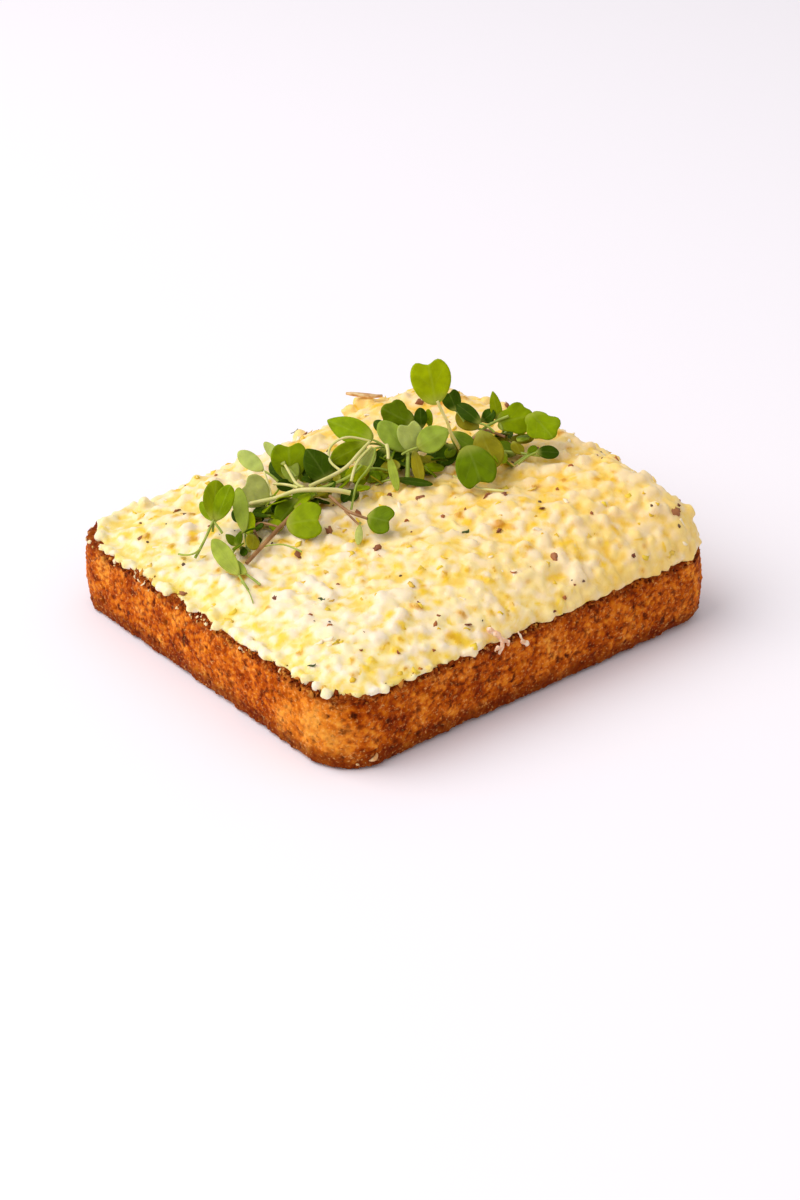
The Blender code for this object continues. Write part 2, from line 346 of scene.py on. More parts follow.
def slice_profile():
    """(height, inset) pairs from inside the underside, up the crust and in over the top."""
    corner = []
    for i in range(1, EDGE_STEPS + 1):
        angle = math.pi / 2 * i / (EDGE_STEPS + 1)
        corner.append((CRUST_EDGE * (1 - math.cos(angle)), CRUST_EDGE * (1 - math.sin(angle))))
    flat = [(0, CRUST_EDGE + FLAT_BAND * (1 - i / FLAT_STEPS) ** FLAT_CROWDING)
            for i in range(FLAT_STEPS + 1)]
    lower = flat + corner
    side_height = slice_top - 2 * CRUST_EDGE
    steps = round(side_height / SKIN_SPACING)
    side = []
    for i in range(steps + 1):
        share = i / steps
        side.append((CRUST_EDGE + side_height * share, -CRUST_BULGE * math.sin(math.pi * share)))
    upper = [(slice_top - height, inset) for height, inset in reversed(lower)]
    return lower + side + upper


outline, outward = rounded_outline(
    slice_half.x - CRUST_BULGE, slice_half.y - CRUST_BULGE,
    (SHARP_CORNER, SLICE_CORNER, SLICE_CORNER, SLICE_CORNER), SKIN_SPACING,
)
from_worn = np.linalg.norm(outline - np.array(WORN_FOOT), axis=1)
foot_radius = FOOT_RADIUS + (WORN_RADIUS - FOOT_RADIUS) * np.exp(-(from_worn / WORN_REACH) ** 2)
skin_steps = []
for height, inset in slice_profile():
    rounded_by = np.maximum(foot_radius - height, 0)
    worn = foot_radius - np.sqrt(foot_radius ** 2 - rounded_by ** 2)
    skin_steps.append((height, inset + worn + CRUST_FLARE * height / slice_top))


def ringed_mesh(name, steps, keep=None):
    """A skin round the slice through (height, inset) steps. Where keep is given, the skin is open
    and only has the faces that keep says; without it, a face closes each end."""
    rings = []
    for height, inset in steps:
        ring = np.zeros((len(outline), 3))
        ring[:, :2] = outline - outward * np.reshape(inset, (-1, 1))
        ring[:, 2] = height
        rings.append(ring)
    count = len(outline)
    faces = []
    for low in range(0, (len(rings) - 1) * count, count):
        for i in range(count):
            if keep is None or keep(*outline[i]):
                after = (i + 1) % count
                faces.append((low + i, low + after, low + count + after, low + count + i))
    if keep is None:
        faces.append(tuple(reversed(range(count))))
        faces.append(tuple(range((len(rings) - 1) * count, len(rings) * count)))
    mesh = bpy.data.meshes.new(name)
    mesh.from_pydata(np.concatenate(rings).tolist(), [], faces)
    return mesh


skin = ringed_mesh("slice skin", skin_steps)
print("slice skin:", len(outline), "points round and", len(skin_steps), "rings")

# %% The loaf's unevenness
SWELLS = ((0.45 * MM, 15 * MM), (0.30 * MM, 3.2 * MM), (0.14 * MM, 1.2 * MM))
CRUMB_HEIGHT = 0.34 * MM
CRUMB_SPACING = 1.5 * MM
RIM_RAGGED = 0.75 * MM
RIM_SPACING = 1.5 * MM
RIM_WIDTH = 2.2 * MM
RIM_INWARD = 1.6 * RIM_WIDTH
RIM_FULL = 1.3  # over 1, the rim stays fully ragged a little way in over the top
CREVICE_STEEPNESS = 1.6
CRUMB_MIDDLE = 0.6
RAGGED_DETAIL, RAGGED_FINER, RAGGED_RISE = 0.6, 2.3, 0.1


def crumb(place, spacing):
    """How far a point stands up on a crumb of a packed, grainy surface: 0 in a crevice, 1 on top."""
    near, second = noise.voronoi(place / spacing)[0][:2]
    return min(1.0, (second - near) * CREVICE_STEEPNESS)


def rim_share(place):
    """1 on the slice's top edge, fading to 0 down the crust and in over the top."""
    below = (slice_top - place.z) / RIM_WIDTH
    inside = min(slice_half.x - abs(place.x), slice_half.y - abs(place.y)) / RIM_INWARD
    corner = Vector((abs(place.x) - slice_half.x + SLICE_CORNER,
                     abs(place.y) - slice_half.y + SLICE_CORNER))
    if corner.x > 0 and corner.y > 0:
        inside = (SLICE_CORNER - corner.length) / RIM_INWARD
    return max(0.0, 1 - below) * max(0.0, min(1.0, RIM_FULL - inside))


PITS = (
    # Torn pits in the crust: place (x, y, z), radius and depth, in millimetres.
    (33, -56, 12.5, 1.5, 1.1), (29.5, -56, 7.5, 1.3, 1.0), (35, -56, 15.5, 0.9, 0.7),
    (45, -56, 16.0, 1.8, 0.8), (6, -56, 10, 1.2, 0.9), (12, -56, 14, 0.8, 0.6),
    (-22, -56, 7, 0.9, 0.7), (-60, 12, 11, 1.3, 0.9), (-60, -14, 6, 1.1, 0.8),
    (-60, 31, 14, 1.0, 0.8), (-60, 40, 5, 1.1, 0.8), (-60, -30, 12, 0.9, 0.7),
)
PIT_WOBBLE, PIT_WOBBLE_SPACING = 0.5, 0.8 * MM
PIT_FLOOR = 1.4  # over 1, a pit has a flat floor


def pit_share(place):
    """How deep a point lies in a pit, in metres, and how far down in it, from 0 to 1."""
    deepest = (0.0, 0.0)
    for x, y, z, radius, depth in PITS:
        away = place / MM - Vector((x, y, z))
        away = away.length + PIT_WOBBLE * noise.noise(place / PIT_WOBBLE_SPACING)
        share = min(1.0, max(0.0, PIT_FLOOR * (1 - away / radius)))
        deepest = max(deepest, (share * depth * MM, share))
    return deepest


skin.attributes.new("crumb", "FLOAT", "POINT")
skin.attributes.new("pore", "FLOAT", "POINT")
marks = zip(skin.attributes["crumb"].data, skin.attributes["pore"].data)
moved = []
for vertex, (stands, pore) in zip(skin.vertices, marks):
    place = vertex.co
    sunk, pore.value = pit_share(place)
    amount = sum(depth * noise.noise(place / spacing) for depth, spacing in SWELLS)
    stands.value = crumb(place, CRUMB_SPACING)
    amount += CRUMB_HEIGHT * (stands.value - CRUMB_MIDDLE)
    ragged = noise.noise(place / RIM_SPACING)
    ragged += RAGGED_DETAIL * noise.noise(place / RIM_SPACING * RAGGED_FINER)
    rise = RIM_RAGGED * rim_share(place) * (ragged + RAGGED_RISE) - sunk
    moved.append((place + vertex.normal * (amount + rise), rim_share(place)))
for vertex, (place, at_rim) in zip(skin.vertices, moved):
    # The slice keeps standing flat on the table, and the spread lies flat on its top.
    vertex.co = place
    vertex.co.z = min(max(place.z, slice_low.z), slice_top + at_rim * RIM_RAGGED)

# %% A tree that sinks pores into a surface
SMALLEST_PORE = 0.35  # of the radius that a layer gives
PORE_CROWD = 1 / (0.9 * MM) ** 2
pores, sizes = new_tree("sink pores", Spacing="Float", Radius="Float", Depth="Float", Seed="Int")
spots = add_node(pores, "GeometryNodeDistributePointsOnFaces", {
    "Mesh": sizes["Geometry"], "Distance Min": sizes["Spacing"], "Density Max": PORE_CROWD,
    "Seed": sizes["Seed"],
}, distribute_method="POISSON")
spot_size = add_node(pores, "FunctionNodeRandomValue", {
    2: SMALLEST_PORE, 3: 1.0, "Seed": sizes["Seed"],
})
sized = add_node(pores, "GeometryNodeStoreNamedAttribute", {
    "Geometry": spots, "Name": "size", "Value": spot_size,
})
near = add_node(pores, "GeometryNodeSampleNearest", {"Geometry": sized})
named_size = add_node(pores, "GeometryNodeInputNamedAttribute", {"Name": "size"})
near_size = add_node(pores, "GeometryNodeSampleIndex", {
    "Geometry": sized, "Value": named_size, "Index": near,
})
far = add_node(pores, "GeometryNodeProximity", {"Target": sized}, target_element="POINTS")
reach = add_node(pores, "ShaderNodeMath", {0: sizes["Radius"], 1: near_size}, operation="MULTIPLY")
bowl = add_node(pores, "ShaderNodeMapRange", {
    "Value": far.outputs["Distance"], "From Min": 0.0, "From Max": reach, "To Min": 1.0,
    "To Max": 0.0,
}, interpolation_type="SMOOTHSTEP")
deep = add_node(pores, "ShaderNodeMath", {0: bowl, 1: near_size}, operation="MULTIPLY")
down = add_node(pores, "ShaderNodeMath", {0: deep, 1: sizes["Depth"]}, operation="MULTIPLY")
inwards = add_node(pores, "ShaderNodeMath", {0: down, 1: -1.0}, operation="MULTIPLY")
normal = add_node(pores, "GeometryNodeInputNormal")
push = add_node(pores, "ShaderNodeVectorMath", {0: normal, "Scale": inwards}, operation="SCALE")
sunk = add_node(pores, "GeometryNodeSetPosition", {"Geometry": sizes["Geometry"], "Offset": push})
before = add_node(pores, "GeometryNodeInputNamedAttribute", {"Name": "pore"})
deepest = add_node(pores, "ShaderNodeMath", {0: before, 1: deep}, operation="MAXIMUM")
marked = add_node(pores, "GeometryNodeStoreNamedAttribute", {
    "Geometry": sunk, "Name": "pore", "Value": deepest,
})
end_tree(pores, marked)

# %% Pores, pits and a few torn holes
PORE_LAYERS = (
    # Spacing, radius and depth of the crust's fine pores, of its pits, and of its few torn holes.
    (2.6 * MM, 0.6 * MM, 0.32 * MM),
    (6.0 * MM, 1.0 * MM, 0.6 * MM),
    (26 * MM, 2.0 * MM, 1.2 * MM),
)
working = add_object("slice skin", skin)
for seed, (spacing, radius, depth) in enumerate(PORE_LAYERS, start=4):
    working.data = grow(working, pores, "toast", Spacing=spacing, Radius=radius, Depth=depth,
                        Seed=seed)
toast = working.data
drop(working)

# %% [markdown]
# ## The crust's finish
#
# Baked crust is dry and matt. Its colour is browned sugar and starch, so it runs from gold through
# orange brown to nearly black, in patches about a centimetre across with grains of a millimetre
# or two on them. The cut edges took the most heat. Height alone tells where they are, so the
# object's own coordinates give the dark bands, and noise breaks them up.

# %% Toasted crust
CRUST_IOR = 1.45
GOLDEN_CORNER = Vector((slice_low.x + 2 * MM, slice_low.y + 13 * MM, slice_high.z / 2))
crust, tree, shader = new_material("toasted bread crust", Roughness=0.6, IOR=CRUST_IOR,
                                   Specular_IOR_Level=0.04)
place = add_node(tree, "ShaderNodeTexCoord").outputs["Object"]
# Patches a centimetre across, and one golden corner.
patches = add_node(tree, "ShaderNodeTexNoise", {
    "Vector": place, "Scale": 1 / (6 * MM), "Detail": 5.0, "Roughness": 0.62,
})
corner_far = add_node(tree, "ShaderNodeVectorMath", {
    0: place, 1: GOLDEN_CORNER,
}, operation="DISTANCE")
corner_near = add_node(tree, "ShaderNodeMapRange", {
    "Value": corner_far, "From Min": 15 * MM, "From Max": 4 * MM, "To Max": 0.08,
}, interpolation_type="SMOOTHSTEP")
warmth = add_node(tree, "ShaderNodeMath", {0: patches, 1: corner_near})
baked = ramp(tree, warmth,
             (0.35, "#A04404"), (0.46, "#CE6C0A"), (0.57, "#F0922A"), (0.68, "#F8AC44"))
# Grains of a millimetre or two, drawn out upwards as the loaf rose, partly their own colour:
# painted shade between them and painted highlight on their tops.
risen = add_node(tree, "ShaderNodeVectorMath", {
    0: place, 1: (1.0, 1.0, 1.15),
}, operation="MULTIPLY")
grains = add_node(tree, "ShaderNodeTexNoise", {
    "Vector": risen, "Scale": 1 / (1.6 * MM), "Detail": 3.0, "Roughness": 0.55,
})
stands = add_node(tree, "ShaderNodeAttribute", attribute_name="crumb").outputs["Fac"]
relief = add_node(tree, "ShaderNodeMath", {0: stands, 1: 0.20, 2: grains}, operation="MULTIPLY_ADD")
crevice_shade_speckle = ramp(tree, relief,
               (0.40, "#7E3810"), (0.55, "#D8A278"), (0.68, "#F6E4CC"), (0.82, "#FFFFFF"))
# The golden corner is smoother.
crevice_shade_share = add_node(tree, "ShaderNodeMath", {
    0: corner_near, 1: -5.0, 2: 0.85,
}, operation="MULTIPLY_ADD")
# The grains' painted shade and highlight, multiplied over the baked colour.
crevice_shaded = laid_over(tree, baked, (crevice_shade_share, crevice_shade_speckle), way="MULTIPLY")
# Scorched bands along the top edge and the foot.
height = add_node(tree, "ShaderNodeSeparateXYZ", {"Vector": place}).outputs["Z"]
wander = add_node(tree, "ShaderNodeTexNoise", {
    "Vector": place, "Scale": 1 / (4 * MM), "Detail": 4.0,
})
wandering = add_node(tree, "ShaderNodeMath", {
    0: wander, 1: 6 * MM, 2: height,
}, operation="MULTIPLY_ADD")
scorch_top = add_node(tree, "ShaderNodeMapRange", {
    "Value": wandering, "From Min": 18.5 * MM, "From Max": 22 * MM,
}, interpolation_type="SMOOTHSTEP")
scorch_foot = add_node(tree, "ShaderNodeMapRange", {
    "Value": wandering, "From Min": 9.5 * MM, "From Max": 5 * MM,
}, interpolation_type="SMOOTHSTEP")
scorch = add_node(tree, "ShaderNodeMath", {0: scorch_top, 1: scorch_foot}, operation="MAXIMUM")
scorch_share = add_node(tree, "ShaderNodeMath", {0: scorch, 1: 0.75}, operation="MULTIPLY")
# Sparse pale flecks as painted glints on the matt crust, cracks as dark as coffee, and the same
# dark painted as shade into the pores.
flecks = add_node(tree, "ShaderNodeTexNoise", {
    "Vector": risen, "Scale": 1 / (0.9 * MM), "Detail": 2.0, "Roughness": 0.7,
})
painted_glint_share = add_node(tree, "ShaderNodeMapRange", {
    "Value": flecks, "From Min": 0.56, "From Max": 0.76, "To Max": 0.6,
})
cracks = add_node(tree, "ShaderNodeTexNoise", {
    "Vector": risen, "Scale": 1 / (3.2 * MM), "Detail": 4.0, "Roughness": 0.6,
})
crack_share = add_node(tree, "ShaderNodeMapRange", {
    "Value": cracks, "From Min": 0.42, "From Max": 0.29, "To Max": 0.85,
})
pore = add_node(tree, "ShaderNodeAttribute", attribute_name="pore").outputs["Fac"]
pore_shade_share = add_node(tree, "ShaderNodeMath", {0: pore, 1: 0.85}, operation="MULTIPLY")
crack_and_pore_shade_share = add_node(tree, "ShaderNodeMath", {0: crack_share, 1: pore_shade_share}, operation="MAXIMUM")
# Painted glints, dark cracks and painted shade in the pores, laid over the grains.
coated = laid_over(tree, crevice_shaded, (scorch_share, "#682002"), (painted_glint_share, "#FFBE70"),
                   (crack_and_pore_shade_share, "#3E1202"))
bump = add_node(tree, "ShaderNodeBump", {"Strength": 0.7, "Distance": 0.4 * MM, "Height": grains})
plug(shader, {"Base Color": coated, "Normal": bump})
hand_over("toasted_slice", toast, "toast_slice", crust)

# %% [markdown]
# ## The egg salad
#
# Egg salad is boiled egg chopped by hand and folded into mayonnaise: dice of firm white, crumbs of
# yolk, and a thick dressing that glues them into one lumpy mass. Displacing a smooth mound would
# give swellings but no pieces. So the mound is built as it is mixed: Geometry Nodes scatter lumps
# of each ingredient over the model's surface, everything is fused into one skin on a fine grid,
# and the skin then asks the nearest lump what it is made of, which colours it.

# %% Lumps to scatter
LUMP_GRAIN = 1.3
SEED_STRIDE = 7.1
BLUNTNESS = 0.22
UNEVEN_CUT = (0.8, 1.1)


def lump_mesh(name, seed, subdivisions, flatness, raggedness):
    """A rounded lump of unit radius, flattened and pushed about by noise."""
    builder = bmesh.new()
    bmesh.ops.create_icosphere(builder, subdivisions=subdivisions, radius=1)
    for vertex in builder.verts:
        push = noise.noise(vertex.co * LUMP_GRAIN + Vector((seed * SEED_STRIDE, 0, 0)))
        vertex.co *= 1 + raggedness * push
        vertex.co.z *= flatness
    return finished(builder, name)


def dice_mesh(name, seed, sizes):
    """A hand-cut piece of egg white: a box with blunt edges, no two faces quite parallel."""
    draw = random.Random(seed)
    builder = bmesh.new()
    bmesh.ops.create_cube(builder, size=2)
    for vertex in builder.verts:
        vertex.co = Vector(c * s * draw.uniform(*UNEVEN_CUT) for c, s in zip(vertex.co, sizes))
    bmesh.ops.bevel(builder, geom=builder.edges[:], offset=BLUNTNESS, segments=2, affect="EDGES")
    bmesh.ops.triangulate(builder, faces=builder.faces)
    return finished(builder, name)


def basket(name, meshes):
    """A collection of hidden objects, for Geometry Nodes to pick from."""
    collection = bpy.data.collections.new(name)
    for mesh in meshes:
        collection.objects.link(bpy.data.objects.new(mesh.name, mesh))
    return collection


dressing_lumps = basket("dressing lumps", [
    lump_mesh("dressing lump", seed, 2, 0.75, 0.5) for seed in range(5)
])
dressing_grains = basket("dressing grains", [
    lump_mesh("dressing grain", seed, 1, 0.9, 0.3) for seed in range(3)
])
white_dice = basket("white dice", [
    dice_mesh("white dice", seed, sizes) for seed, sizes in enumerate((
        (1.0, 0.8, 0.6), (1.2, 0.7, 0.7), (0.9, 0.9, 0.5), (1.4, 0.6, 0.5), (0.8, 0.7, 0.7),
    ))
])
plain_dice = basket("plain dice", [
    dice_mesh("plain dice", seed + 30, (1.0, 0.9, 0.8)) for seed in range(4)
])
yolk_crumbs = basket("yolk crumbs", [
    lump_mesh("yolk crumb", seed + 20, 2, 0.85, 0.7) for seed in range(4)
])


# %% Bits set on spots of a surface
def facing_up(tree, limit, operation="GREATER_THAN"):
    """Where the height of the surface's normal is over a limit, or under it."""
    normal = add_node(tree, "GeometryNodeInputNormal")
    height = add_node(tree, "ShaderNodeSeparateXYZ", {"Vector": normal}).outputs["Z"]
    return add_node(tree, "FunctionNodeCompare", {0: height, 1: limit}, operation=operation)


def bedded_bits(tree, sizes, spots, depth, scale, rotation):
    """Bits picked at random for the spots, sunk by a depth, each with a tint of its own."""
    outside = add_node(tree, "ShaderNodeMath", {0: depth, 1: -1.0}, operation="MULTIPLY")
    inwards = add_node(tree, "ShaderNodeVectorMath", {
        0: spots.outputs["Normal"], "Scale": outside,
    }, operation="SCALE")
    bedded = add_node(tree, "GeometryNodeSetPosition", {"Geometry": spots, "Offset": inwards})
    picked = add_node(tree, "GeometryNodeCollectionInfo", {
        "Collection": sizes["Bits"], "Separate Children": True, "Reset Children": True,
    })
    bits = add_node(tree, "GeometryNodeInstanceOnPoints", {
        "Points": bedded, "Instance": picked, "Pick Instance": True, "Rotation": rotation,
        "Scale": scale,
    })
    tint = add_node(tree, "FunctionNodeRandomValue", {"Seed": sizes["Seed"]})
    return add_node(tree, "GeometryNodeStoreNamedAttribute", {
        "Geometry": bits, "Name": "tint", "Value": tint,
    }, domain="INSTANCE")


# %% A tree that scatters lumps over a surface
THIN_RADIUS = 1.2 * MM
DEPTH_SHARE = 0.5
scatter, sizes = new_tree(
    "scatter lumps", Bits="Collection", Spacing="Float", Smallest="Float", Largest="Float",
    Depth="Float", Steepest="Float", Flattest="Float", Floor="Float", Kind="Float", Seed="Int",
)
steep = facing_up(scatter, sizes["Steepest"])
level = facing_up(scatter, sizes["Flattest"], "LESS_THAN")
between = add_node(scatter, "FunctionNodeBooleanMath", {0: steep, 1: level}, operation="AND")
density = add_node(scatter, "ShaderNodeMath", {0: sizes["Spacing"], 1: -2.0}, operation="POWER")
spots = add_node(scatter, "GeometryNodeDistributePointsOnFaces", {
    "Mesh": sizes["Geometry"], "Selection": between, "Density": density, "Seed": sizes["Seed"],
})
scaled = add_node(scatter, "FunctionNodeRandomValue", {
    2: sizes["Smallest"], 3: sizes["Largest"], "Seed": sizes["Seed"],
})
# No lump is larger than the spread is deep under it, and a small one is bedded less deeply.
level_now = add_node(scatter, "ShaderNodeSeparateXYZ", {
    "Vector": add_node(scatter, "GeometryNodeInputPosition"),
}).outputs["Z"]
over_floor = add_node(scatter, "ShaderNodeMath", {
    0: level_now, 1: sizes["Floor"],
}, operation="SUBTRACT")
largest_here = add_node(scatter, "ShaderNodeMath", {
    0: over_floor, 1: DEPTH_SHARE, 2: THIN_RADIUS,
}, operation="MULTIPLY_ADD")
fitting = add_node(scatter, "ShaderNodeMath", {0: scaled, 1: largest_here}, operation="MINIMUM")
kept = add_node(scatter, "ShaderNodeMath", {0: fitting, 1: scaled}, operation="DIVIDE")
deeper = add_node(scatter, "ShaderNodeMath", {0: sizes["Depth"], 1: kept}, operation="MULTIPLY")
turned = add_node(scatter, "FunctionNodeRandomValue", {
    "Max": (math.tau, math.tau, math.tau), "Seed": sizes["Seed"],
}, data_type="FLOAT_VECTOR")
kinds = add_node(scatter, "GeometryNodeStoreNamedAttribute", {
    "Geometry": bedded_bits(scatter, sizes, spots, deeper, fitting, turned), "Name": "kind",
    "Value": sizes["Kind"],
}, domain="INSTANCE")
end_tree(scatter, kinds)

# %% The mound that the lumps lie on
MOUND_SINK = 1.5 * MM
THIN_END_SINK = 0.6 * MM
THIN_CORNER_SINK = 1.2 * MM
THIN_CORNER_NARROW = 0.8 * MM
THIN_CORNER_X = (40 * MM, 48 * MM)
THIN_CORNER_Y = (22 * MM, 42 * MM)
MOUND_NARROW = 1.0 * MM
# The knife pushed the spread out a little at the thin end, and more along the near side.
THIN_END_REACH = 0.2 * MM
NEAR_REACH = 1.4 * MM
DIP = (58 * MM, -37 * MM)
DIP_REACH = 9 * MM
DIP_DEPTH = 2.6 * MM


def merged_copy(node, name):
    """A copy of a solid of the model with its loose triangles merged."""
    builder = bmesh.new()
    builder.from_mesh(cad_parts[node].data)
    bmesh.ops.remove_doubles(builder, verts=builder.verts, dist=0.001 * MM)
    return finished(builder, name)


def ease(value, start, end):
    """0 at start, 1 at end, smooth between."""
    share = min(max((value - start) / (end - start), 0), 1)
    return share * share * (3 - 2 * share)


mound = add_object("mound", merged_copy("egg_salad", "mound"))
for vertex in mound.data.vertices:
    slope = vertex.normal
    thin_end = max(-vertex.co.x / slice_half.x, 0) ** 2
    # The knife skimped the far corner of the thin end, and left a dip on the heaped one.
    corner = ease(-vertex.co.x, *THIN_CORNER_X) * ease(vertex.co.y, *THIN_CORNER_Y)
    off_dip = (Vector(vertex.co.xy) - Vector(DIP)).length / DIP_REACH
    sink = MOUND_SINK + THIN_END_SINK * thin_end + THIN_CORNER_SINK * corner
    sink += DIP_DEPTH * math.exp(-off_dip ** 2)
    vertex.co.z -= max(slope.z, 0) * sink
    pull = THIN_CORNER_NARROW * corner ** 2
    vertex.co.x *= 1 - MOUND_NARROW / slice_half.x
    vertex.co.y *= 1 - MOUND_NARROW / slice_half.y
    vertex.co.x -= THIN_END_REACH * thin_end * (1 - corner) - pull
    vertex.co.y -= NEAR_REACH * max(-vertex.co.y / slice_half.y, 0) ** 2 + pull
print("mound has", len(mound.data.vertices), "points")

# %% Fold the ingredients in
PLAIN, WHITE, YOLK = 0.0, 1.0, 2.0
INGREDIENTS = (
    # What, spacing, smallest and largest radius, depth of its middle under the surface, steepest
    # and flattest place that it takes (the height of the surface's normal), kind.
    (dressing_lumps, 6.0 * MM, 1.8 * MM, 3.4 * MM, 1.8 * MM, -0.3, 2, PLAIN),
    (dressing_lumps, 2.4 * MM, 0.8 * MM, 1.7 * MM, 1.0 * MM, -0.3, 2, PLAIN),
    (plain_dice, 3.2 * MM, 0.8 * MM, 2.0 * MM, 1.05 * MM, -0.3, 2, PLAIN),
    (dressing_grains, 3.2 * MM, 0.35 * MM, 0.75 * MM, 0.25 * MM, -0.3, 2, PLAIN),
    (dressing_grains, 1.3 * MM, 0.45 * MM, 0.95 * MM, 0.05 * MM, -0.6, 0.7, PLAIN),
    (plain_dice, 2.2 * MM, 0.8 * MM, 1.7 * MM, 0.2 * MM, -0.6, 0.75, PLAIN),
    (white_dice, 4.6 * MM, 1.6 * MM, 2.9 * MM, 1.3 * MM, -0.3, 2, WHITE),
    (white_dice, 3.2 * MM, 0.9 * MM, 2.0 * MM, 1.0 * MM, -0.3, 2, WHITE),
    (white_dice, 2.8 * MM, 0.6 * MM, 1.5 * MM, 0.3 * MM, -0.6, 0.85, WHITE),
    (yolk_crumbs, 3.6 * MM, 0.5 * MM, 1.5 * MM, 0.7 * MM, -0.3, 2, YOLK),
    (yolk_crumbs, 7.5 * MM, 1.3 * MM, 2.1 * MM, 0.9 * MM, -0.3, 2, YOLK),
)
CLOD_FLATNESS, CLOD_RAGGEDNESS = 0.85, 0.6
CLOD_TINTS = (0.45, 1)
CLODS = (
    # Larger clods that were dropped last: middle (x, y, height) and radius, in millimetres.
    (33, 51, 27.2, 3.4), (38.5, 50, 26.2, 2.9), (28.0, 51.5, 27, 2.4),
    (57, 31, 26, 3.0), (12, 53, 23.5, 2.4), (-9, 48, 25.5, 2.4), (-24, 48, 23.5, 2.0),
    # The corner where the heap hangs a little over the toast.
    (54, -46.5, 25.3, 2.8), (54.5, -48.5, 21.5, 2.8), (56.2, -45, 21.8, 2.2),
    (56, -41, 22.5, 2.2), (51.5, -51, 21, 2.2), (57, -48.2, 20.4, 1.4), (54.8, -51.2, 20.3, 1.3),
    (53.5, 30.5, 29.4, 2.6), (53.5, 26, 31.2, 2.2), (54, 19.5, 31.8, 2.0),
    (55.5, -17, 30.4, 2.6), (55.5, -13, 31.3, 2.0), (55.5, -20.5, 31.0, 1.8), (57, 12, 30, 2.4),
    (56, -32.5, 28.8, 2.0), (55.5, -46, 26.4, 2.4), (-40, 49, 22.6, 1.6),
    # A dab that closes a thin place.
    (-56.3, 3.1, 18.9, 1.2),
)
batches = [mound.data]
for seed, ingredient in enumerate(INGREDIENTS, start=11):
    lumps, spacing, smallest, largest, depth, steepest, flattest, kind = ingredient
    batches.append(grow(
        mound, scatter, "batch", Bits=lumps, Spacing=spacing, Smallest=smallest,
        Largest=largest, Depth=depth, Steepest=float(steepest), Flattest=float(flattest),
        Floor=slice_top, Kind=kind, Seed=seed,
    ))
tints = random.Random(3)
for seed, (x, y, z, radius) in enumerate(CLODS, start=90):
    clod = lump_mesh("clod", seed, 3, CLOD_FLATNESS, CLOD_RAGGEDNESS)
    clod.transform(Matrix.Translation(Vector((x, y, z)) * MM) @ Matrix.Scale(radius * MM, 4))
    clod.attributes.new("tint", "FLOAT", "POINT")
    clod_tint = tints.uniform(*CLOD_TINTS)
    for held in clod.attributes["tint"].data:
        held.value = clod_tint
    batches.append(clod)


def joined(name, meshes):
    """One mesh of several, keeping their attributes."""
    builder = bmesh.new()
    for mesh in meshes:
        builder.from_mesh(mesh)
    return finished(builder, name)


for batch in batches:
    for name in ("kind", "tint"):
        if name not in batch.attributes:
            batch.attributes.new(name, "FLOAT", "POINT")
mixture = add_object("mixture", joined("mixture", batches))
drop(mound)
print("mixture has", len(mixture.data.polygons), "faces")

# %% Fuse it into one skin
EGG_CELL = 0.64 * MM
EGG_BED = 0.3 * MM  # how far the spread reaches down into the toast
fused = add_object("fused egg", mixture.data.copy())
remesh = fused.modifiers.new("one skin", "REMESH")
remesh.mode = "VOXEL"
remesh.voxel_size = EGG_CELL
soften = fused.modifiers.new("soften", "SMOOTH")
soften.factor = 0.5
soften.iterations = 1
fused.data = plain_mesh(fused, "fused egg")
fused.modifiers.clear()
print("fused egg has", len(fused.data.polygons), "faces")


def sliced_flat(mesh, height):
    """Cut a mesh flat at a height, keep what is above, and close it underneath."""
    builder = bmesh.new()
    builder.from_mesh(mesh)
    everything = builder.verts[:] + builder.edges[:] + builder.faces[:]
    bmesh.ops.bisect_plane(builder, geom=everything, plane_co=(0, 0, height),
                           plane_no=(0, 0, 1), clear_inner=True)
    rim = [edge for edge in builder.edges if edge.is_boundary]
    bmesh.ops.holes_fill(builder, edges=rim, sides=0)
    bmesh.ops.recalc_face_normals(builder, faces=builder.faces)
    builder.to_mesh(mesh)
    builder.free()


sliced_flat(fused.data, slice_top - EGG_BED)

# %% A tree that asks the nearest lump what it is
HOLLOW_STEPS = 5
asking, sizes = new_tree("take on the nearest lump", Mixture="Object")
mixed = add_node(asking, "GeometryNodeObjectInfo", {"Object": sizes["Mixture"]})
taken = sizes["Geometry"]
nearest = {}
for name in ("kind", "tint"):
    held = add_node(asking, "GeometryNodeInputNamedAttribute", {"Name": name})
    nearest[name] = add_node(asking, "GeometryNodeSampleNearestSurface", {
        "Mesh": mixed.outputs["Geometry"], "Value": held,
    })
marks = {
    name: add_node(asking, "FunctionNodeCompare", {
        0: nearest["kind"], 1: kind, "Epsilon": 0.4,
    }, operation="EQUAL")
    for name, kind in (("white", WHITE), ("yolk", YOLK))
}
for name, mark in {**marks, "tint": nearest["tint"]}.items():
    soft = add_node(asking, "GeometryNodeBlurAttribute", {"Value": mark, "Iterations": 1})
    taken = add_node(asking, "GeometryNodeStoreNamedAttribute", {
        "Geometry": taken, "Name": name, "Value": soft,
    })
# How far a point lies under the surface around it, which the finish uses for painted shade in the
# hollows and painted highlight on what stands up.
position = add_node(asking, "GeometryNodeInputPosition")
around = add_node(asking, "GeometryNodeBlurAttribute", {
    "Value": position, "Iterations": HOLLOW_STEPS,
}, data_type="FLOAT_VECTOR")
gap = add_node(asking, "ShaderNodeVectorMath", {0: around, 1: position}, operation="SUBTRACT")
outwards = add_node(asking, "GeometryNodeInputNormal")
under = add_node(asking, "ShaderNodeVectorMath", {0: gap, 1: outwards}, operation="DOT_PRODUCT")
hollow = add_node(asking, "ShaderNodeMath", {0: under, 1: MM}, operation="DIVIDE")
taken = add_node(asking, "GeometryNodeStoreNamedAttribute", {
    "Geometry": taken, "Name": "hollow", "Value": hollow,
})
end_tree(asking, taken)
salad = grow(fused, asking, "egg salad", Mixture=mixture)
drop(fused)
drop(mixture)

